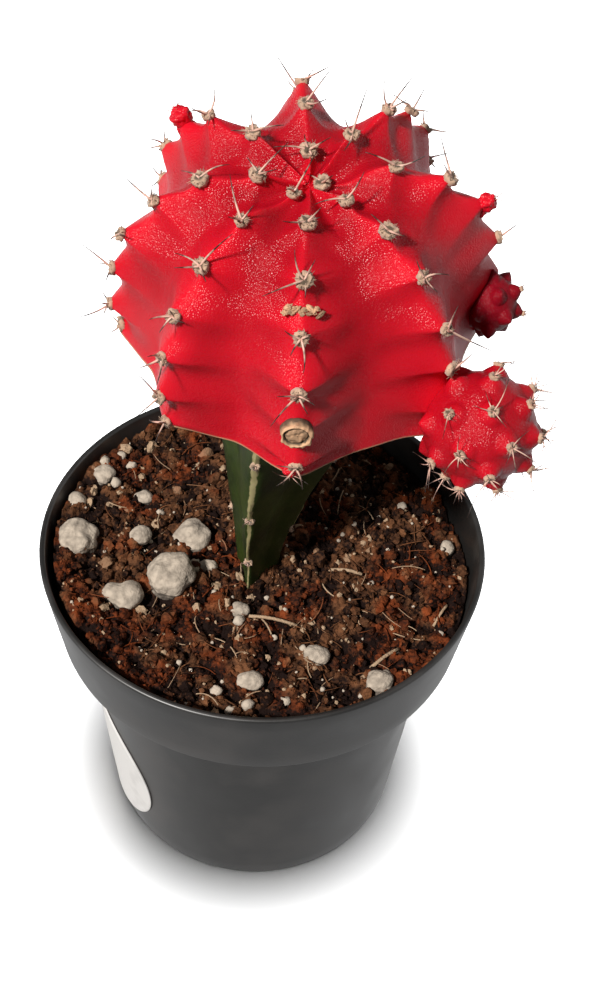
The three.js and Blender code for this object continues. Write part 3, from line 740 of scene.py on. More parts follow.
def coated_paper(paper, dust):
    """Coated label paper: smooth and white with a low sheen, and a little grime."""
    material, tree, place = new_material("coated_paper")
    sheet, _ = two_tone(tree, place, paper, dust, size=4, detail=6, span=(0.55, 0.9), most=0.3)
    pulp = grain_bump(tree, place, size=0.4, detail=2, strength=0.1, depth=0.03)
    return finish_material(material, {"Base Color": sheet, "Roughness": 0.55, "Normal": pulp})


def matt_floor(floor):
    """Matt white paper sheet: it scatters light evenly, with a faint cloudiness."""
    material, tree, place = new_material("matt_floor")
    sheet, _ = two_tone(tree, place, floor, (0, 0, 0), size=60, detail=2, span=(1, 0), most=0.03)
    return finish_material(material, {"Base Color": sheet, "Roughness": 0.9})


# Spines and wool, as on every cactus piece

SPINE_LEAN = (40, 78)  # degrees off the areole's own direction
FIRST_SPINE = (0.75, 1)  # lengths as shares of the reach: the first spine's and the others'
OTHER_SPINES = (0.3, 0.7)
SPINE_TAPER = 0.85
SPINE_STRAY = 0.35  # how far a spine strays from its even place in the ring of them
# a spine's bends as shares of its length: along the areole's own direction, and any way
SPINE_RISE = (-0.3, 0.4)
SPINE_BEND = 0.35
SPINE_POINTS = 8  # along each
SPINE_SIDES = 5
# an areole's felt cushion, from its middle outwards: radius and height, in its radii
PAD_PROFILE = np.array([
    (0.15, 0.2), (0.35, 0.2), (0.5, 0.22), (0.65, 0.25), (0.8, 0.25), (0.92, 0.18), (1.04, 0.04),
    (1.1, -0.2), (1.0, -0.7),
])
PAD_MIDDLE = 0.15
PAD_WORN = (0.3, 0.75)  # the cushion is worn inside the first radius and fresh outside the second
PAD_SIDES = 26
HAIR_RADIUS = 0.045
HAIR_TAPER = 0.6
# how far out the hairs stand, and their lengths, in a cushion's radii
HAIR_ROOTS = (0.45, 1.1)
HAIR_LENGTHS = (0.3, 0.75)
HAIR_POINTS = 3
HAIR_SIDES = 3


def bent_path(start, way, bend, along):
    """Points of a line that sets out one way and bends as it goes."""
    return start + way * along[:, None] + bend * along[:, None] ** 2


def spine_parts(centre, normal, count, reach, thickness, rng, is_clear=None):
    """Curved thorns that lean out round an areole, up to reach millimetres long or so."""
    first, second = side_directions(normal)
    along = np.linspace(0, 1, SPINE_POINTS)
    parts = []
    start = rng.uniform(0, 360)
    for number in range(count):
        lean = np.radians(rng.uniform(*SPINE_LEAN))
        turn = np.radians(start + (number + rng.uniform(-SPINE_STRAY, SPINE_STRAY)) * 360 / count)
        side = np.cos(turn) * first + np.sin(turn) * second
        direction = np.cos(lean) * normal + np.sin(lean) * side
        size = reach * rng.uniform(*(FIRST_SPINE if number == 0 else OTHER_SPINES))
        bend = normal * rng.uniform(*SPINE_RISE) + rng.uniform(-SPINE_BEND, SPINE_BEND, 3)
        path = bent_path(centre, direction * size, bend * size, along)
        if is_clear is not None and not is_clear(path[-1]):
            continue
        radii = thickness * (1 - along * SPINE_TAPER) ** 0.8
        parts.append(tube(path, radii, SPINE_SIDES, along=along))
    return parts


def pad_part(centre, normal, radius, seed):
    """A low ragged felt cushion with a worn hollow in its middle."""
    ring = circle(normal, PAD_SIDES)
    reach, height = (PAD_PROFILE * radius).T[..., None, None]
    rings = centre + reach * ring + height * normal
    uneven = ripple(rings, 0.35 * radius, seed) + 0.6 * ripple(rings, 0.9 * radius, seed + 3)
    ragged = 0.3 * normal + 0.35 * ring * (reach > PAD_WORN[0] * radius)
    rings = rings + uneven[..., None] * radius * ragged
    worn = 1 - smoothstep(PAD_PROFILE[:, :1], *PAD_WORN)
    middle = centre + normal * PAD_MIDDLE * radius
    return lathed(rings, middle, rings[-1].mean(axis=0), worn=worn)


def wool_parts(centre, normal, radius, count, rng):
    """Short matted hairs that stand out of a felt cushion and over its edge."""
    first, second = side_directions(normal)
    along = np.linspace(0, 1, HAIR_POINTS)
    parts = []
    for _ in range(count):
        turn = rng.uniform(0, 2 * np.pi)
        side = np.cos(turn) * first + np.sin(turn) * second
        share = rng.uniform(*HAIR_ROOTS)
        root = centre + side * radius * share + normal * radius * 0.1
        upward, outward, astray = rng.uniform(0.2, 1), rng.uniform(-0.4, 1.2), rng.uniform(-0.5, 0.5, 3)
        direction = unit(normal * upward + side * outward + astray)
        size = radius * rng.uniform(*HAIR_LENGTHS)
        path = bent_path(root, direction * size, -normal * 0.35 * size, along)
        worn = rng.uniform(-0.3, 0.6)
        radii = HAIR_RADIUS * (1 - along * HAIR_TAPER)
        parts.append(tube(path, radii, HAIR_SIDES, worn=[worn] * HAIR_POINTS))
    return parts


# The head

HEAD_TURN = np.array(Euler((np.radians(HEAD_LEAN[0]), np.radians(HEAD_LEAN[1]), 0)).to_matrix())


def from_head(parts):
    """Places parts of the head's own frame in the plant's."""
    return [(points @ HEAD_TURN.T + HEAD_CENTRE, faces, shades) for points, faces, shades in parts]


def crest_normal(azimuth, along):
    """Outward direction of a crest, square to its line."""
    step = 0.0001
    along = np.minimum(along, 0.999)  # the line ends at 1
    tangent = unit(spline(CREST, along + step) - spline(CREST, along - step))
    return at_azimuth(-tangent[..., 1], azimuth, tangent[..., 0])


def areole_places(rib):
    """Places of a rib's areoles along its crest, on past the base."""
    return [*rib.crown, *np.arange(rib.first, 1 + 2 * AREOLE_PITCH, AREOLE_PITCH)]


def notch(rib, along):
    """How deep a crest is notched between two areoles: 0 at an areole, 1 at the deepest, which
    lies nearer to the areole above it."""
    places = np.array(areole_places(rib))
    after = np.searchsorted(places, along, side="right")
    above = places[np.maximum(after - 1, 0)]
    share = np.where(after > 0, (along - above) / np.maximum(places[after] - above, 0.01), 0)
    fade = np.minimum(1, np.minimum(along / CROWN_FADE, (1 - along) / BASE_FADE))
    return np.sin(np.pi * share**0.75) * fade


def crest_point(head, rib, along, share=1.0):
    """Points along a crest, with its notches cut to a share of their depth."""
    along = np.asarray(along, float)
    place = spline(CREST, along)
    depth = head.tooth_height / MM * notch(rib, along) * share
    crest = at_azimuth(place[..., 0], rib.azimuth, place[..., 1])
    return crest - crest_normal(rib.azimuth, along) * depth[..., None]


def furrow_point(azimuth, along):
    """Points down a furrow. The furrows lie deeper half way down the back."""
    place = spline(FURROW, along)
    backness = (1 - np.cos(np.radians(azimuth))) / 2
    extra = BACK_HOLLOW * backness * np.sin(np.pi * np.clip(along, 0, 1))
    return at_azimuth(place[..., 0] - extra, azimuth, place[..., 1])


def along_rib(rib, place):
    """Where a row of the skin crosses a rib, so that rows follow its areoles."""
    window = np.minimum(1, np.minimum(place, 1 - place) / SHIFT_FADE)
    return place + (rib.first % AREOLE_PITCH - MEAN_SHIFT) * window


def rounded(share, radius):
    """A share from 0 to 1 that leaves 0 softly, without a crease."""
    return (np.sqrt(share**2 + radius**2) - radius) / (np.sqrt(1 + radius**2) - radius)


def flank(head, number, across, place):
    """The skin between two crests, with its shades: across from one crest, 0, to the next, 1, and
    place from the crown, 0, to the base, 1."""
    rib, other = RIBS[number], RIBS[(number + 1) % len(RIBS)]
    other_azimuth = other.azimuth + (360 if other.azimuth < rib.azimuth else 0)
    along = along_rib(rib, place) * (1 - across) + along_rib(other, place) * across

    # crests and furrows are sharp near the crown and softer towards the base
    lower = smoothstep(place, *SOFTER)
    furrow_softness, crest_softness, power = (
        first + added * lower for first, added in (FURROW_SOFTNESS, CREST_SOFTNESS, NOTCH_POWER)
    )
    nearness = np.abs(1 - 2 * across) * np.ones_like(place)
    shape = 1 - rounded(1 - rounded(nearness, furrow_softness), crest_softness)
    between = 4 * shape * (1 - shape)  # 0 at crest and furrow, 1 half way
    cut = shape ** power  # the notches fade away from the crest
    is_near = (across < 0.5)[..., None]
    crest = np.where(is_near, crest_point(head, rib, along, cut), crest_point(head, other, along, cut))
    furrow = furrow_point((rib.azimuth + other_azimuth) / 2, along)
    point = furrow + (crest - furrow) * nearness[..., None]

    # the straight flank is rounded, hollowed, creased below each notch and made uneven
    outward = unit(point - HEAD_MIDDLE)
    rounding = (shape - nearness) * ((crest - furrow) * outward).sum(axis=-1)
    upper = 1 - smoothstep(place, *HOLLOW_FADE)
    hollow = FLANK_HOLLOW * between * np.minimum(1, place / HOLLOW_START) * upper
    fold = np.where(across < 0.5, notch(rib, along), notch(other, along))
    in_middle = smoothstep(place, *CREASE_RISE) * (1 - 0.6 * smoothstep(place, *CREASE_FADE))
    crease = CREASE_DEPTH * fold**3 * between * in_middle
    swell = SWELL[0] * ripple(point, SWELL[1])
    point = point + outward * (rounding + swell - hollow - crease)[..., None]
    sideways = [ripple(point, WANDER[1], seed) for seed in (7, 8)]
    wander = WANDER[0] * np.stack([*sideways, np.zeros_like(swell)], axis=-1)
    point = point + wander * np.minimum(1, place / 0.1)[..., None]

    # painted shade: furrows, folds and the crown are painted a deeper red
    in_crown = smoothstep(place, 0.02, 0.15) * (1 - 0.6 * smoothstep(place, 0.4, 0.8))
    deep = FURROW_SHADE * (1 - shape) * in_crown + FOLD_SHADE * fold**2 * between
    return point, deep + CROWN_SHADE * (1 - smoothstep(place, 0.15, 0.45))


def head_skin(head):
    """The ribbed skin from the crown down and across the cut underside."""
    rows, columns = ((210, 46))
    step = np.arange(columns) / columns
    across = (step - 0.6 * np.sin(4 * np.pi * step) / (4 * np.pi))[None]  # closer at crests and furrows
    place = np.linspace(0, 1, rows + 1)[1:, None]
    rings, deep = (
        np.concatenate(parts, axis=1)
        for parts in zip(*(flank(head, number, across, place) for number in range(len(RIBS))))
    )
    callus = np.broadcast_to(smoothstep(place, *CALLUS_EDGE), deep.shape)
    rim = rings[-1]
    shares = UNDERSIDE_RINGS[:, None]
    sunk = smoothstep(1 - shares, 0, 0.12)
    height = rim[:, 2] * (1 - sunk) + UNDERSIDE * sunk
    under = np.stack([rim[:, 0] * shares, rim[:, 1] * shares, height], axis=-1)
    under[..., 2] += CALLUS_RELIEF[0] * ripple(under * [1, 1, 0], CALLUS_RELIEF[1], 2)
    flat = np.zeros_like(height)
    return lathed(
        np.concatenate([rings, under]), (0, 0, CREST[0][1]), (0, 0, UNDERSIDE),
        deep=np.concatenate([deep, flat]),
        callus=np.concatenate([callus, flat + 1 - 0.6 * smoothstep(shares, 0.5, 0.9)]),
    )


def rib_named(name):
    """The rib of a name."""
    return next(rib for rib in RIBS if rib.name == name)


def ringed_bump(centre, normal, profile, seed, wobble):
    """A turned scar on the skin, from its middle outwards, made uneven by a wobble."""
    ring = circle(normal, 48)
    profile = spline(profile, np.linspace(0, 1, 40))
    rings = centre + profile[:, :1, None] * ring + profile[:, 1:2, None] * normal
    uneven = wobble * (ripple(rings, 0.9, seed) + 0.7 * ripple(rings, 0.35, seed + 1))
    rings = rings + uneven[..., None] * (normal + ring)
    # the profile's third column paints shade into the groove and under the edge
    return lathed(rings, centre + profile[0, 1] * normal, rings[-1].mean(axis=0), hollow=profile[:, 2:])


def lump_part(centre, axes, size, detail, seed, roughness, **shades):
    """An uneven ball, stretched along three axes."""
    points, faces = ball(detail)
    reach = 1 + roughness * (ripple(points, 0.7, seed) + 0.5 * ripple(points, 0.3, seed + 1))
    placed = centre + (points * reach[:, None] * np.array(size)) @ np.array(axes)
    return placed, faces.tolist(), {name: np.full(len(points), shade) for name, shade in shades.items()}


def areole_parts(head, rng):
    """Pads, hairs and spines of the areoles on the head's crests."""
    pads, hairs, spines = [], [], []
    radius = head.areole_radius / MM
    for rib in RIBS:
        for number, along in enumerate(areole_places(rib)):
            if (rib.name, number) in BARE_AREOLES or along > LAST_AREOLE:
                continue
            along = min(along, LOWEST_AREOLE)
            centre = crest_point(head, rib, along)
            if not clear_of_offsets(centre, radius):
                continue
            normal = crest_normal(rib.azimuth, along)
            size = radius * rng.uniform(0.85, 1.15)
            pads.append(pad_part(centre, normal, size, number))
            hairs += wool_parts(centre, normal, size, AREOLE_HAIRS, rng)
            spines += spine_parts(
                centre, normal, count=int(rng.integers(2, 5)), reach=head.longest_spine / MM,
                thickness=head.spine_radius / MM, rng=rng, is_clear=clear_of_offsets,
            )
    return pads, hairs, spines


def cork_parts(head, rng):
    """The ringed scar of a lost offset, and the flakes of a scab across the same rib."""
    rib = rib_named(SCAR_AREOLE[0])
    along = areole_places(rib)[SCAR_AREOLE[1]]
    middle, normal = crest_point(head, rib, along), crest_normal(rib.azimuth, along)
    parts = [ringed_bump(middle, normal, SCAR_PROFILE, seed=5, wobble=0.2)]
    middle, normal = crest_point(head, rib, SCAB_ALONG), crest_normal(rib.azimuth, SCAB_ALONG)
    side, up = side_directions(normal)
    for number in range(SCAB_FLAKES):
        step = (2 * number / (SCAB_FLAKES - 1) - 1) * SCAB_HALF_LENGTH
        centre = middle + side * step + up * rng.uniform(-FLAKE_STRAY, FLAKE_STRAY)
        turn = np.array(Euler(rng.uniform(-FLAKE_TURN, FLAKE_TURN, 3)).to_matrix())
        size = [rng.uniform(*span) for span in FLAKE_SIZES]
        parts.append(lump_part(
            centre, turn @ np.array([side, up, normal]), size,
            detail=4, seed=number, roughness=0.6, hollow=rng.uniform(0, 0.5),
        ))
    return parts


def bud_parts(head, rng):
    """Tiny buds, each a ball on a neck, with their hairs and spines."""
    buds, hairs, spines = [], [], []
    shades = {"deep": 0.2, "callus": 0.0}
    for name, along, step, size in BUDS:
        rib = rib_named(name)
        normal = crest_normal(rib.azimuth, along)
        side = at_azimuth(1.0, rib.azimuth + 90, 0)
        centre = crest_point(head, rib, along) + normal * size * 0.5 + side * step
        neck = centre - normal * size * 0.8 - [0, 0, 0.5 * size]
        for middle, radius, seed, roughness in ((centre, 0.95 * size, 9, 0.3), (neck, 0.9 * size, 4, 0.2)):
            buds.append(lump_part(middle, np.eye(3), (radius,) * 3, 4, seed, roughness, **shades))
        tip, cushion = centre + normal * size * 0.8, centre + normal * size * 0.7
        spines += spine_parts(tip, normal, count=5, reach=3.4, thickness=0.07, rng=rng)
        hairs += wool_parts(cushion, normal, size * 0.4, count=10, rng=rng)
    return buds, hairs, spines


class CACTUS_OT_scion(bpy.types.Operator):
    """Grow the red head with its areoles, spines, scar, scab and buds"""
    bl_idname = "cactus.scion"
    bl_label = "Grafted head"

    def execute(self, context):
        head = context.scene.cactus_head
        rng = np.random.default_rng(13)
        pads, hairs, spines = areole_parts(head, rng)
        corks = cork_parts(head, rng)
        buds, bud_hairs, bud_spines = bud_parts(head, rng)
        flesh = waxy_flesh("waxy_flesh", head.flesh, head.deep_flesh, head.cork)
        felt = areole_felt(head.wool, head.old_wool)
        horn = spine_horn(head.spine, head.spine_tip)
        cork = scar_cork(head.cork, head.old_wool)
        for name, parts, material in (
            ("scion_skin", [head_skin(head)], flesh), ("scion_buds", buds, flesh),
            ("scion_areoles", pads, felt), ("scion_wool", hairs + bud_hairs, felt),
            ("scion_spines", spines + bud_spines, horn), ("scion_scars", corks, cork),
        ):
            make_piece(name, from_head(parts), material, ["scion"])
        return {"FINISHED"}


# The offsets

def clear_of_offsets(point, distance=1.6):
    """True where a point of the head keeps clear of both offsets."""
    return all(
        np.linalg.norm(point - np.array(centre)) > max(radii) + distance
        for centre, radii, *_ in OFFSETS.values()
    )


def clear_of_head(point):
    """True where a point of an offset lies outside the head."""
    return np.hypot(point[0], point[1]) > OFFSET_CLEAR_RADIUS or point[2] < UNDERSIDE - OFFSET_CLEAR_BELOW


def spiral_directions(tip, count):
    """Evenly spread directions round an offset's tip, on a spiral that stops short of its root."""
    number = np.arange(count)
    height = 1 - SPIRAL_SPAN * (number + 0.5) / count
    radius = np.sqrt(1 - height**2)
    turn = np.radians(number * GOLDEN_ANGLE)
    first, second = side_directions(tip)
    return (
        (radius * np.cos(turn))[:, None] * first
        + (radius * np.sin(turn))[:, None] * second
        + height[:, None] * tip
    )


def offset_skin(centre, radii, directions, tubercle, seed):
    """A ball whose tubercles rise in given directions, each a broad dome with a narrow peak."""
    points, faces = ball(6)
    nearest = np.arccos(np.clip(points @ directions.T, -1, 1)).min(axis=1)
    share = nearest / (TUBERCLE_FOOT / np.sqrt(len(directions)))
    dome, peak = np.clip(1 - share**2, 0, 1), np.exp(-share / PEAK_WIDTH)
    low = 1 - (DOME_SHARE * dome + PEAK_SHARE * peak)
    lift = 1 - tubercle * low + 0.012 * ripple(points, 0.3, seed)
    # painted shade: the red deepens in the valleys between the tubercles, over a deeper tone on the whole
    # offset
    shades = {"deep": 0.3 + 0.5 * low, "callus": np.zeros(len(points))}
    return centre + points * lift[:, None] * radii, faces.tolist(), shades


class CACTUS_OT_offsets(bpy.types.Operator):
    """Grow the two round offsets at the right of the head"""
    bl_idname = "cactus.offsets"
    bl_label = "Offsets"

    def execute(self, context):
        head = context.scene.cactus_head
        felt = areole_felt(head.wool, head.old_wool)
        horn = spine_horn(head.spine, head.spine_tip)
        young = waxy_flesh("waxy_young_flesh", head.flesh, head.deep_flesh, head.cork)
        dark = waxy_flesh("waxy_dark_flesh", head.dark_flesh, head.dark_flesh, head.cork, wax=0.3)
        finishes = {
            "offset_large": ("scion", young, LARGE_PAD_SHARE),
            "offset_small": ("dark_scion", dark, SMALL_PAD_SHARE),
        }
        for seed, (node, (centre, radii, tip, count, tubercle, reach)) in enumerate(OFFSETS.items(), 21):
            rng = np.random.default_rng(seed)
            slot, flesh, pad_share = finishes[node]
            centre = np.array(centre)
            directions = spiral_directions(unit(np.array(tip)), count)
            pad = head.areole_radius / MM * pad_share
            pads, hairs, spines = [], [], []
            for number, direction in enumerate(directions):
                areole = centre + direction * radii * 0.985  # just under the peak
                if not clear_of_head(areole):
                    continue
                pads.append(pad_part(areole, direction, pad, number))
                hairs += wool_parts(areole, direction, pad, OFFSET_HAIRS, rng)
                spines += spine_parts(
                    areole, direction, OFFSET_SPINES, reach, YOUNG_SPINE_RADIUS, rng, clear_of_head
                )
            for name, parts, material in (
                ("skin", [offset_skin(centre, radii, directions, tubercle, seed)], flesh),
                ("areoles", pads + hairs, felt), ("spines", spines, horn),
            ):
                make_piece(f"{node}_{name}", from_head(parts), material, [node])
        return {"FINISHED"}


# The rootstock

def stem_radius(top_radius, azimuth, height):
    """Radius of the three-winged section, and the share of the way from a wing edge."""
    wing = STEM_FOOT_RADIUS + (top_radius - STEM_FOOT_RADIUS) * smoothstep(height, *STEM_FLARE)
    turns = (azimuth - LEAD_WING) * WINGS / 360
    from_wing = np.abs(turns - np.round(turns)) * 2
    soft = rounded(from_wing, 0.05)
    return wing * (1 - WING_HOLLOW * (1 - (1 - soft) ** WING_SHARPNESS)), from_wing


def stem_middle(height):
    """Middle of the section at a height. The stem leans."""
    share = smoothstep(height, *STEM_LEAN)[..., None]
    return STEM_FOOT_MIDDLE + (STEM_TOP_MIDDLE - STEM_FOOT_MIDDLE) * share


def graft_height(points):
    """Height of the cut face under the head, which slopes as the head leans."""
    on_face = HEAD_TURN @ [0, 0, UNDERSIDE - GRAFT_GAP] + HEAD_CENTRE
    normal = HEAD_TURN[:, 2]
    return on_face[2] - ((points[..., :2] - on_face[:2]) @ normal[:2]) / normal[2]


def stem_body(top_radius):
    """The winged stem, with waves along its edges, from the graft down to its foot in the soil."""
    rows, columns = STEM_FACES
    azimuth = LEAD_WING + all_round(columns)
    height = np.linspace(STEM_TOP, STEM_FOOT, rows)[:, None]
    radius, from_wing = stem_radius(top_radius, azimuth, height)
    margin = np.exp(-((from_wing / WING_EDGE) ** 2))  # 1 on a wing's edge, 0 a little off it
    rings = at_azimuth(radius, azimuth, height) + stem_middle(height)
    wave = STEM_WAVE_HEIGHT * np.sin((height - STEM_AREOLES[0]) * 2 * np.pi / STEM_WAVE) * margin
    swell = STEM_SWELL[0] * ripple(rings, STEM_SWELL[1])
    rough = (STEM_ROUGHNESS[0] + MARGIN_ROUGHNESS * margin) * ripple(rings, STEM_ROUGHNESS[1], 1)
    rings = rings + at_azimuth(1.0, azimuth, 0.0) * (swell + rough + wave)[..., None]
    rings[..., 2] += (graft_height(rings) - STEM_TOP) * smoothstep(height, STEM_TOP - 12, STEM_TOP)
    return lathed(rings, rings[0].mean(axis=0), rings[-1].mean(axis=0), margin=margin)


class CACTUS_OT_rootstock(bpy.types.Operator):
    """Grow the green three-winged stem under the head"""
    bl_idname = "cactus.rootstock"
    bl_label = "Rootstock"

    def execute(self, context):
        stem, head = context.scene.cactus_rootstock, context.scene.cactus_head
        rng = np.random.default_rng(3)
        top_radius = stem.top_radius / MM
        pads, spines = [], []
        for wing in range(WINGS):
            azimuth = LEAD_WING + wing * 360 / WINGS
            normal = at_azimuth(1.0, azimuth, 0.0)
            for level in STEM_AREOLES:
                level = np.array([level + wing * STEM_AREOLE_STEP])
                edge, _ = stem_radius(top_radius, azimuth, level)
                centre = (at_azimuth(edge, azimuth, level) + stem_middle(level))[0]
                pads.append(pad_part(centre, normal, STEM_AREOLE_RADIUS, wing))
                pads += wool_parts(centre, normal, STEM_AREOLE_RADIUS, STEM_HAIRS, rng)
                spines += spine_parts(
                    centre, normal, STEM_SPINES, STEM_SPINE_LENGTH, YOUNG_SPINE_RADIUS, rng
                )
        skin = stem_skin(stem.skin, stem.dark_skin, stem.cork)
        felt = areole_felt(head.wool, head.old_wool)
        horn = spine_horn(head.spine, head.spine_tip)
        body = stem_body(top_radius)
        make_piece("rootstock_skin", [body], skin, ["rootstock"], sharp=50)
        make_piece("rootstock_areoles", pads, felt, ["rootstock"])
        make_piece("rootstock_spines", spines, horn, ["rootstock"])
        return {"FINISHED"}


# The pot

def body_radius(pot, height):
    """Outside radius of the body, which widens up to the step."""
    body_top = (pot.height - pot.band_height) / MM - STEP_HEIGHT
    base = pot.base_radius / MM
    return base + (pot.body_top_radius / MM - base) * height / body_top


def band_radius(pot, height):
    """Outside radius of the band, which widens up to the lip."""
    share = 1 - (pot.height / MM - height) / (pot.band_height / MM)
    foot = pot.band_foot_radius / MM
    return foot + (pot.rim_radius / MM - foot) * share


def corner(before, at, after, radius):
    """Points that round a corner of a profile."""
    start = at + unit(before - at) * radius
    end = at + unit(after - at) * radius
    share = np.linspace(0, 1, CORNER_POINTS)[:, None]
    return (1 - share) ** 2 * start + 2 * share * (1 - share) * at + share**2 * end


def pot_profile(pot):
    """Radius and height of the wall: up the inside, over the lip, down the outside and in under
    the floor."""
    top, wall, base = pot.height / MM, pot.wall / MM, pot.base_radius / MM
    band_foot = top - pot.band_height / MM
    step_foot = band_foot - STEP_HEIGHT
    # radius, height and how far the corner is rounded
    outline = np.array([
        (0, FLOOR_THICKNESS, 0),
        (body_radius(pot, FLOOR_THICKNESS) - wall, FLOOR_THICKNESS, 0.6),
        (body_radius(pot, step_foot) - wall, step_foot + wall, 0.4),
        (band_radius(pot, band_foot + wall) - wall, band_foot + wall, 0.4),
        (band_radius(pot, top) - wall, top, 0.42),
        (band_radius(pot, top), top, LIP_ROUNDING),
        (band_radius(pot, band_foot), band_foot, 0.35),
        (body_radius(pot, step_foot), step_foot, 0.4),
        (base, 0, LIP_ROUNDING),
        (base - FOOT_RING, 0, 0.15),
        (base - FOOT_RING_FOOT, UNDERSIDE_RECESS, 0.15),
        (0, UNDERSIDE_RECESS, 0),
    ])
    profile = [outline[:1, :2]]
    for before, at, after in zip(outline, outline[1:], outline[2:]):
        rounded_corner = corner(before[:2], at[:2], after[:2], at[2])
        last = profile[-1][-1]
        straight = rounded_corner[0] - last
        pieces = max(2, int(np.linalg.norm(straight) / LONGEST_EDGE))
        profile.append(last + straight * np.linspace(0, 1, pieces + 1)[1:-1, None])
        profile.append(rounded_corner)
    return np.concatenate(profile)[1:]


class CACTUS_OT_pot(bpy.types.Operator):
    """Mould the pot with its band, step, rounded lip and drain holes"""
    bl_idname = "cactus.pot"
    bl_label = "Nursery pot"

    def execute(self, context):
        pot = context.scene.cactus_pot
        profile = pot_profile(pot)
        rings = at_azimuth(profile[:, :1], all_round(POT_SIDES), profile[:, 1:])
        body = lathed(rings, (0, 0, FLOOR_THICKNESS), (0, 0, UNDERSIDE_RECESS))
        plastic = moulded_polypropylene(pot.plastic, pot.dust)
        piece = make_piece("pot_wall", [body], plastic, ["pot"], sharp=40)

        holes = []
        above, below = ([0, 0, height] for height in DRAIN_CUT)
        for number in range(DRAIN_HOLES):
            middle = at_azimuth(DRAIN_CIRCLE, number * 360 / DRAIN_HOLES, 0)
            circles = at_azimuth(DRAIN_RADIUS, all_round(DRAIN_SIDES), np.array(DRAIN_CUT)[:, None])
            holes.append(lathed(circles + middle, middle + above, middle + below))
        cutter = make_piece("drain_cutter", holes, plastic, ["pot"], sharp=40)
        cut = piece.modifiers.new("drain_holes", "BOOLEAN")
        cut.object = cutter
        cut.operation = "DIFFERENCE"
        context.view_layer.objects.active = piece
        bpy.ops.object.modifier_apply(modifier=cut.name)
        bpy.data.objects.remove(cutter)
        return {"FINISHED"}


class CACTUS_OT_label(bpy.types.Operator):
    """Stick the blank round label on the left of the pot"""
    bl_idname = "cactus.label"
    bl_label = "Blank label"

    def execute(self, context):
        pot, label = context.scene.cactus_pot, context.scene.cactus_label
        radius, gap = label.radius / MM, label.gap / MM
        outer = np.concatenate([np.linspace(0.04, 0.98, 24), [0.995, 1]]) * radius
        reach = np.concatenate([outer, outer[::-1]])[:, None]  # out over the front, in over the back
        is_front = (np.arange(len(reach)) < len(outer))[:, None]
        turn = np.linspace(0, 2 * np.pi, 96, endpoint=False)[None]
        level = label.height / MM + reach * np.cos(turn)
        surface = body_radius(pot, level) + gap
        azimuth = np.degrees(label.azimuth) + np.degrees(-reach * np.sin(turn) / surface)
        lift = label.thickness / MM * is_front * smoothstep(radius - reach, -0.2, 0.15)
        rings = at_azimuth(surface + lift, azimuth, level)
        part = lathed(rings, rings[0].mean(axis=0), rings[-1].mean(axis=0))
        paper = coated_paper(label.paper, pot.dust)
        make_piece("label_paper", [part], paper, ["sticker"], sharp=40)
        return {"FINISHED"}


# The soil

def soil_height(soil, x, y):
    """Height of the soil's top without its crumbs."""
    height = soil.level / MM - SOIL_LEFT_RISE * x / SOIL_REACH
    for along_x, along_y, phase, size in SOIL_MOUNDS:
        height = height + size * np.sin(along_x * x + along_y * y + phase)
    return height


def soil_relief(soil, x, y):
    """Height of the soil's top with its crumbs, and how high each spot lies in its crumb."""
    flat = np.stack([x, y, np.zeros_like(x)], axis=-1)
    clods = sum(height * ripple(flat, size, seed) for height, size, seed in CLODS)
    crumbs, grains = (0.5 - pebbles(flat, size, seed) for _, size, seed in (CRUMBS, GRAINS))
    heap = SOIL_HEAP * smoothstep(np.hypot(x, y), *HEAP_RADII) * smoothstep(-x, *HEAP_SIDE)
    height = soil_height(soil, x, y) + heap + clods + CRUMBS[0] * crumbs + GRAINS[0] * grains
    return height, clods + crumbs


def soil_edge(pot, radius):
    """Radius of the soil inside a wall of the pot, from the wall's outside radius."""
    return radius - pot.wall / MM - SOIL_GAP


def scattered(rng, count, radius):
    """Even random places in a disc."""
    reach = radius * np.sqrt(rng.uniform(0, 1, count))
    turn = rng.uniform(0, 2 * np.pi, count)
    return reach * np.cos(turn), reach * np.sin(turn)


def off_perlite(x, y, share):
    """True for places that lie off the perlite lumps."""
    clear = np.ones(len(x), bool)
    for lump_x, lump_y, radius in PERLITE:
        clear &= np.hypot(x - lump_x, y - lump_y) > radius * share
    return clear


def soil_body(pot, soil, wall):
    """The pot's filling: an uneven top as wide as the wall allows, and plain sides."""
    rings, sides = ((130, 380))
    reach = np.linspace(0.1, wall, rings)[:, None]
    azimuth = all_round(sides)
    top = at_azimuth(reach, azimuth, 0)
    top[..., 2], relief = soil_relief(soil, top[..., 0], top[..., 1])
    band_foot = (pot.height - pot.band_height) / MM
    shoulder, step = (band_foot + height for height in SOIL_SHOULDER)
    side_rings = [
        (band_radius(pot, shoulder), shoulder),
        (body_radius(pot, band_foot - STEP_HEIGHT), step),
        (body_radius(pot, FLOOR_THICKNESS), FLOOR_THICKNESS),
    ]
    skirt = np.stack([at_azimuth(soil_edge(pot, radius), azimuth[0], at) for radius, at in side_rings])
    tone = np.clip(SOIL_TONE + 0.5 * relief, 0, 0.8)  # painted light and shade: paler where it stands up, darker in the gaps
    tone = np.concatenate([tone, np.full((len(side_rings), sides), SOIL_TONE)])
    middle = (0, 0, top[0, :, 2].mean())
    return lathed(np.concatenate([top, skirt]), middle, (0, 0, FLOOR_THICKNESS), tone=tone)


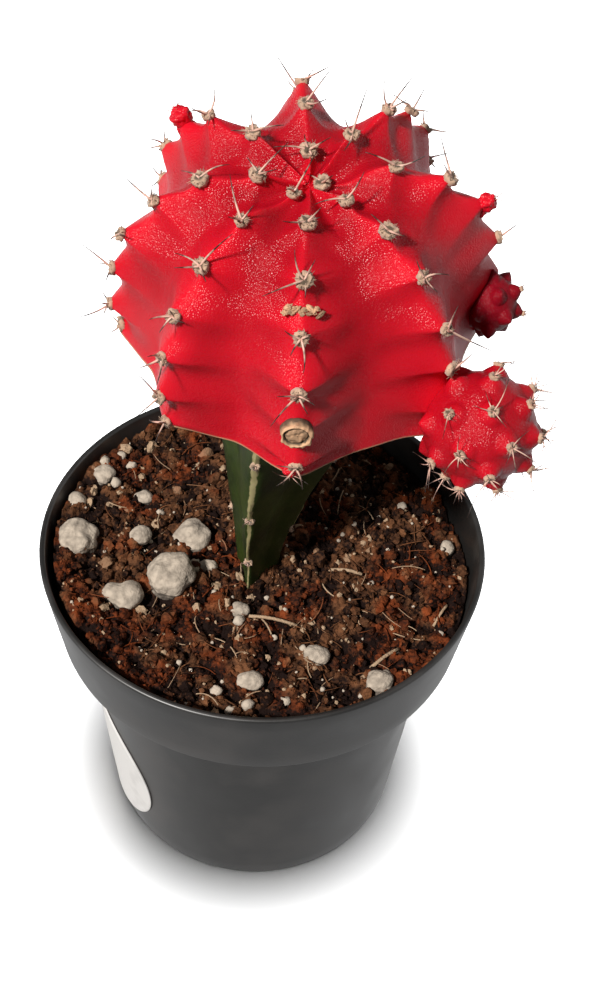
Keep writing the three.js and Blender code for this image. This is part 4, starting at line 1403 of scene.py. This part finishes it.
def crumb_parts(soil, count, sizes, detail, reach, rng):
    """Loose crumbs between two sizes, painted darker as shade in the gaps of the relief, and a few pale
    bits.
    """
    x, y = scattered(rng, count, reach)
    keep = off_perlite(x, y, 0.9)
    x, y = x[keep], y[keep]
    height, relief = soil_relief(soil, x, y)
    # painted shade: crumbs in the gaps of the relief are darker
    tones = rng.uniform(*CRUMB_TONES, len(x)) * np.clip(0.6 + 0.6 * relief, 0.2, 1)
    tones[rng.uniform(0, 1, len(x)) < PALE_SHARE] = 1
    points, faces = ball(detail)
    faces = faces.tolist()
    parts = []
    for tone, *place in zip(tones, x, y, height):
        size = sizes[0] + (sizes[1] - sizes[0]) * rng.uniform() ** 2
        turn = np.array(Euler(rng.uniform(0, 6.3, 3)).to_matrix())
        uneven = rng.uniform(*CRUMB_DENTS, (len(points), 1)) * rng.uniform(*CRUMB_STRETCH, 3)
        placed = (points * uneven) @ turn.T * size + place + [0, 0, 0.1 * size]
        parts.append((placed, faces, {"tone": np.full(len(points), tone)}))
    return parts


def fibre_parts(soil, reach, rng):
    """Coir fibres that lie on the soil, bent to a side and down at their ends."""
    x, y = scattered(rng, soil.fibres, reach)
    height, _ = soil_relief(soil, x, y)
    along = np.linspace(-0.5, 0.5, FIBRE_POINTS)
    parts = []
    for place in np.stack([x, y, height + FIBRE_LIFT], axis=-1):
        turn = rng.uniform(0, 2 * np.pi)
        direction = np.array([np.cos(turn), np.sin(turn), rng.uniform(-FIBRE_SLOPE, FIBRE_SLOPE)])
        aside = np.array([-direction[1], direction[0], 0])
        bend = aside * rng.uniform(-FIBRE_BEND, FIBRE_BEND) - [0, 0, FIBRE_DROOP]
        size = rng.uniform(*FIBRE_LENGTHS)
        path = bent_path(place, direction * size, bend * size * 0.6, along)
        tone = rng.uniform(*FIBRE_TONES)
        radii = np.full(FIBRE_POINTS, rng.uniform(*FIBRE_RADII))
        parts.append(tube(path, radii, 4, tone=[tone] * FIBRE_POINTS))
    return parts


def twig_parts(soil):
    """The rootlets and splinters, each arched between its ends on the soil."""
    share = np.linspace(0, 1, FIBRE_POINTS)[:, None]
    parts = []
    for start, end, radius in SOIL_TWIGS:
        flat = np.array(start) * (1 - share) + np.array(end) * share
        ends, _ = soil_relief(soil, *np.array([start, end]).T)
        arch = ends.mean() + 0.6 + (ends[0] - ends[1]) * (0.5 - share) + 0.5 * np.sin(np.pi * share)
        path = np.concatenate([flat, arch], axis=1)
        parts.append(tube(path, np.full(FIBRE_POINTS, radius), 5, tone=[TWIG_TONE] * FIBRE_POINTS))
    return parts


class CACTUS_OT_soil(bpy.types.Operator):
    """Fill the pot with crumbly soil, loose crumbs and fibres"""
    bl_idname = "cactus.soil"
    bl_label = "Soil"

    def execute(self, context):
        pot, soil = context.scene.cactus_pot, context.scene.cactus_soil
        rng = np.random.default_rng(5)
        wall = soil_edge(pot, band_radius(pot, soil.level / MM - 2))
        mix = potting_mix(soil.peat, soil.loam, soil.coir, soil.chaff)
        make_piece("soil_bed", [soil_body(pot, soil, wall)], mix, ["soil"])
        largest = soil.crumb_size / MM
        for name, count, shares, detail in (
            ("soil_crumbs", soil.crumbs, CRUMB_SIZES, 2), ("soil_grains", soil.grains, GRAIN_SIZES, 1),
        ):
            sizes = [share * largest for share in shares]
            parts = crumb_parts(soil, count, sizes, detail, wall - CRUMB_ROOM, rng)
            make_piece(name, parts, mix, ["soil"], sharp=35)
        fibres = fibre_parts(soil, wall - FIBRE_ROOM, rng) + twig_parts(soil)
        make_piece("soil_fibres", fibres, mix, ["soil"])
        return {"FINISHED"}


class CACTUS_OT_perlite(bpy.types.Operator):
    """Lay the white perlite lumps and grains in the soil's top"""
    bl_idname = "cactus.perlite"
    bl_label = "Perlite"

    def execute(self, context):
        soil = context.scene.cactus_soil
        material = expanded_perlite(soil.perlite, soil.peat)
        for number, (x, y, radius) in enumerate(PERLITE, 1):
            points, faces = ball(6 if radius > 3 else 5)
            surface = points * radius
            wobble = np.sin(np.array(PERLITE_LOBES) * points + [x, y, y]).sum(axis=1)
            popped, fine = (0.5 - pebbles(surface, size, number) for _, size in (POPPED, FINE_POPPED))
            knobs = KNOBS[0] * min(radius, 2.5) * ripple(surface, KNOBS[1], number)
            smooth = radius * (1 + PERLITE_ROUGHNESS * wobble)
            reach = smooth + POPPED[0] * popped + FINE_POPPED[0] * fine + knobs
            centre = (x, y, soil_height(soil, x, y) + PERLITE_STAND * radius)
            placed = points * reach[:, None] * [1, 1, PERLITE_FLATNESS] + centre
            hollow = np.clip(0.5 - 0.9 * popped - 0.3 * fine, 0, 1)
            pit = 0.6 * hollow + 0.5 * (placed[:, 2] < centre[2])  # the lower half is darker too
            part = (placed, faces.tolist(), {"pit": pit})
            make_piece(f"perlite_lump_{number:02d}", [part], material, [f"perlite_{number:02d}"])

        rng = np.random.default_rng(8)
        x, y = np.concatenate([np.array(PERLITE_BITS).T, scattered(rng, LOOSE_GRAINS, LOOSE_REACH)], axis=1)
        height, _ = soil_relief(soil, x, y)
        parts = []
        for number, place in enumerate(np.stack([x, y, height], axis=-1)):
            is_bit = number < len(PERLITE_BITS)
            size = rng.uniform(*BIT_RADII) if is_bit else LOOSE_RADIUS + LOOSE_SPREAD * rng.uniform() ** 3
            centre = place + [0, 0, size * 0.6]
            parts.append(lump_part(
                centre, np.eye(3), (size,) * 3, detail=2, seed=number, roughness=0.5, pit=0.1
            ))
        make_piece("perlite_grains", parts, material, ["soil"])
        return {"FINISHED"}


# The stage

def add_sun(name, strength, spread, elevation, azimuth):
    """A sun from a height and a side, whose disc is as wide as its spread, in degrees."""
    sun = bpy.data.objects.new(name, bpy.data.lights.new(name, "SUN"))
    sun.data.energy = strength
    sun.data.angle = np.radians(spread)
    sun.rotation_euler = (np.pi / 2 - np.radians(elevation), 0, np.radians(azimuth))
    bpy.context.scene.collection.objects.link(sun)
    return sun


def link_light(light, piece, state):
    """Makes a light fall on one piece only, or on all but that piece."""
    group = bpy.data.collections.new(light.name + "_link")
    group.objects.link(piece)
    group.collection_objects[0].light_linking.link_state = state
    light.light_linking.receiver_collection = group


class CACTUS_OT_stage(bpy.types.Operator):
    """Set the floor, the lights and the photograph's camera"""
    bl_idname = "cactus.stage"
    bl_label = "Stage"

    def execute(self, context):
        scene, stage = context.scene, context.scene.cactus_stage
        bpy.ops.mesh.primitive_circle_add(vertices=96, radius=6, fill_type="NGON")
        floor = context.object
        floor.name = "stage_floor"
        floor.data.materials.append(matt_floor(stage.floor))
        floor.visible_diffuse = False  # it throws no light up at the plant
        floor.visible_glossy = False

        world = bpy.data.worlds.new("stage_sky")
        world.use_nodes = True
        tree = world.node_tree
        path = add_node(tree, "ShaderNodeLightPath")
        toward = add_node(tree, "ShaderNodeTexCoord").outputs["Generated"]
        way = add_node(tree, "ShaderNodeSeparateXYZ", {"Vector": toward}).outputs
        below = add_node(tree, "ShaderNodeMapRange", {"Value": way["Z"], "From Min": 0, "From Max": -0.2})
        # the photographer darkens the front
        behind = add_node(
            tree, "ShaderNodeMapRange",
            {"Value": way["Y"], "From Min": -0.5, "From Max": 0.35, "To Min": 0.15},
        )
        glossy = add_node(
            tree, "ShaderNodeMath", {0: below.outputs[0], 1: path.outputs["Is Glossy Ray"]},
            operation="MULTIPLY",
        )
        shine = add_node(
            tree, "ShaderNodeMath", {0: glossy.outputs[0], 1: behind.outputs[0]}, operation="MULTIPLY"
        )
        unseen = add_node(
            tree, "ShaderNodeMath", {0: shine.outputs[0], 1: stage.shine, 2: stage.sky},
            operation="MULTIPLY_ADD",
        )
        strength = add_node(
            tree, "ShaderNodeMath", {0: path.outputs["Is Camera Ray"], 1: unseen.outputs[0]},
            operation="MAXIMUM",
        )
        tree.nodes["Background"].inputs["Color"].default_value = (1, 1, 1, 1)
        tree.links.new(strength.outputs[0], tree.nodes["Background"].inputs["Strength"])
        scene.world = world

        azimuth, elevation = np.degrees(stage.sun_azimuth), np.degrees(stage.sun_elevation)
        key = add_sun("stage_key", stage.sun, KEY_SPREAD, elevation, azimuth)
        key.data.color = WARM_WHITE
        link_light(key, floor, "EXCLUDE")
        side = add_sun("stage_side", stage.side, *SIDE_LIGHT)
        link_light(side, floor, "EXCLUDE")
        overhead = add_sun("stage_overhead", stage.overhead, *FLOOR_LIGHT)
        link_light(overhead, floor, "INCLUDE")

        camera = bpy.data.objects.new("photo_camera", bpy.data.cameras.new("photo_camera"))
        camera.data.sensor_width = SENSOR
        camera.data.lens = FOCAL_PIXELS * SENSOR / PHOTO_HEIGHT
        camera.data.clip_start = 0.01
        tilt = Matrix.Rotation(np.radians(90 - CAMERA_ELEVATION), 4, "X")
        roll = Matrix.Rotation(np.radians(CAMERA_ROLL), 4, "Z")
        camera.matrix_world = Matrix.Translation(np.array(CAMERA_PLACE) * MM) @ tilt @ roll
        scene.collection.objects.link(camera)
        scene.camera = camera
        scene.view_settings.view_transform = "Standard"
        return {"FINISHED"}


class CACTUS_PT_panel(bpy.types.Panel):
    """Lists the pieces of the potted cactus"""
    bl_label = "Moon Cactus"
    bl_idname = "CACTUS_PT_panel"
    bl_space_type = "VIEW_3D"
    bl_region_type = "UI"
    bl_category = "Moon Cactus"

    def draw(self, context):
        for group in SETTINGS:
            box = self.layout.box()
            for name in SETTINGS[group].__annotations__:
                box.prop(getattr(context.scene, group), name)
        for operator in OPERATORS:
            self.layout.operator(operator.bl_idname)


SETTINGS = {
    "cactus_pot": PotSettings,
    "cactus_label": LabelSettings,
    "cactus_soil": SoilSettings,
    "cactus_rootstock": RootstockSettings,
    "cactus_head": HeadSettings,
    "cactus_stage": StageSettings,
}
OPERATORS = [
    CACTUS_OT_stage, CACTUS_OT_pot, CACTUS_OT_label, CACTUS_OT_soil, CACTUS_OT_perlite,
    CACTUS_OT_rootstock, CACTUS_OT_scion, CACTUS_OT_offsets,
]


def register():
    for item in [*SETTINGS.values(), *OPERATORS, CACTUS_PT_panel]:
        bpy.utils.register_class(item)
    for name, settings in SETTINGS.items():
        setattr(bpy.types.Scene, name, bpy.props.PointerProperty(type=settings))


def unregister():
    for name in SETTINGS:
        delattr(bpy.types.Scene, name)
    for item in reversed([*SETTINGS.values(), *OPERATORS, CACTUS_PT_panel]):
        bpy.utils.unregister_class(item)


def main():
    register()
    for operator in OPERATORS:
        family, name = operator.bl_idname.split(".")
        getattr(getattr(bpy.ops, family), name)()


if __name__ == "__main__":
    main()
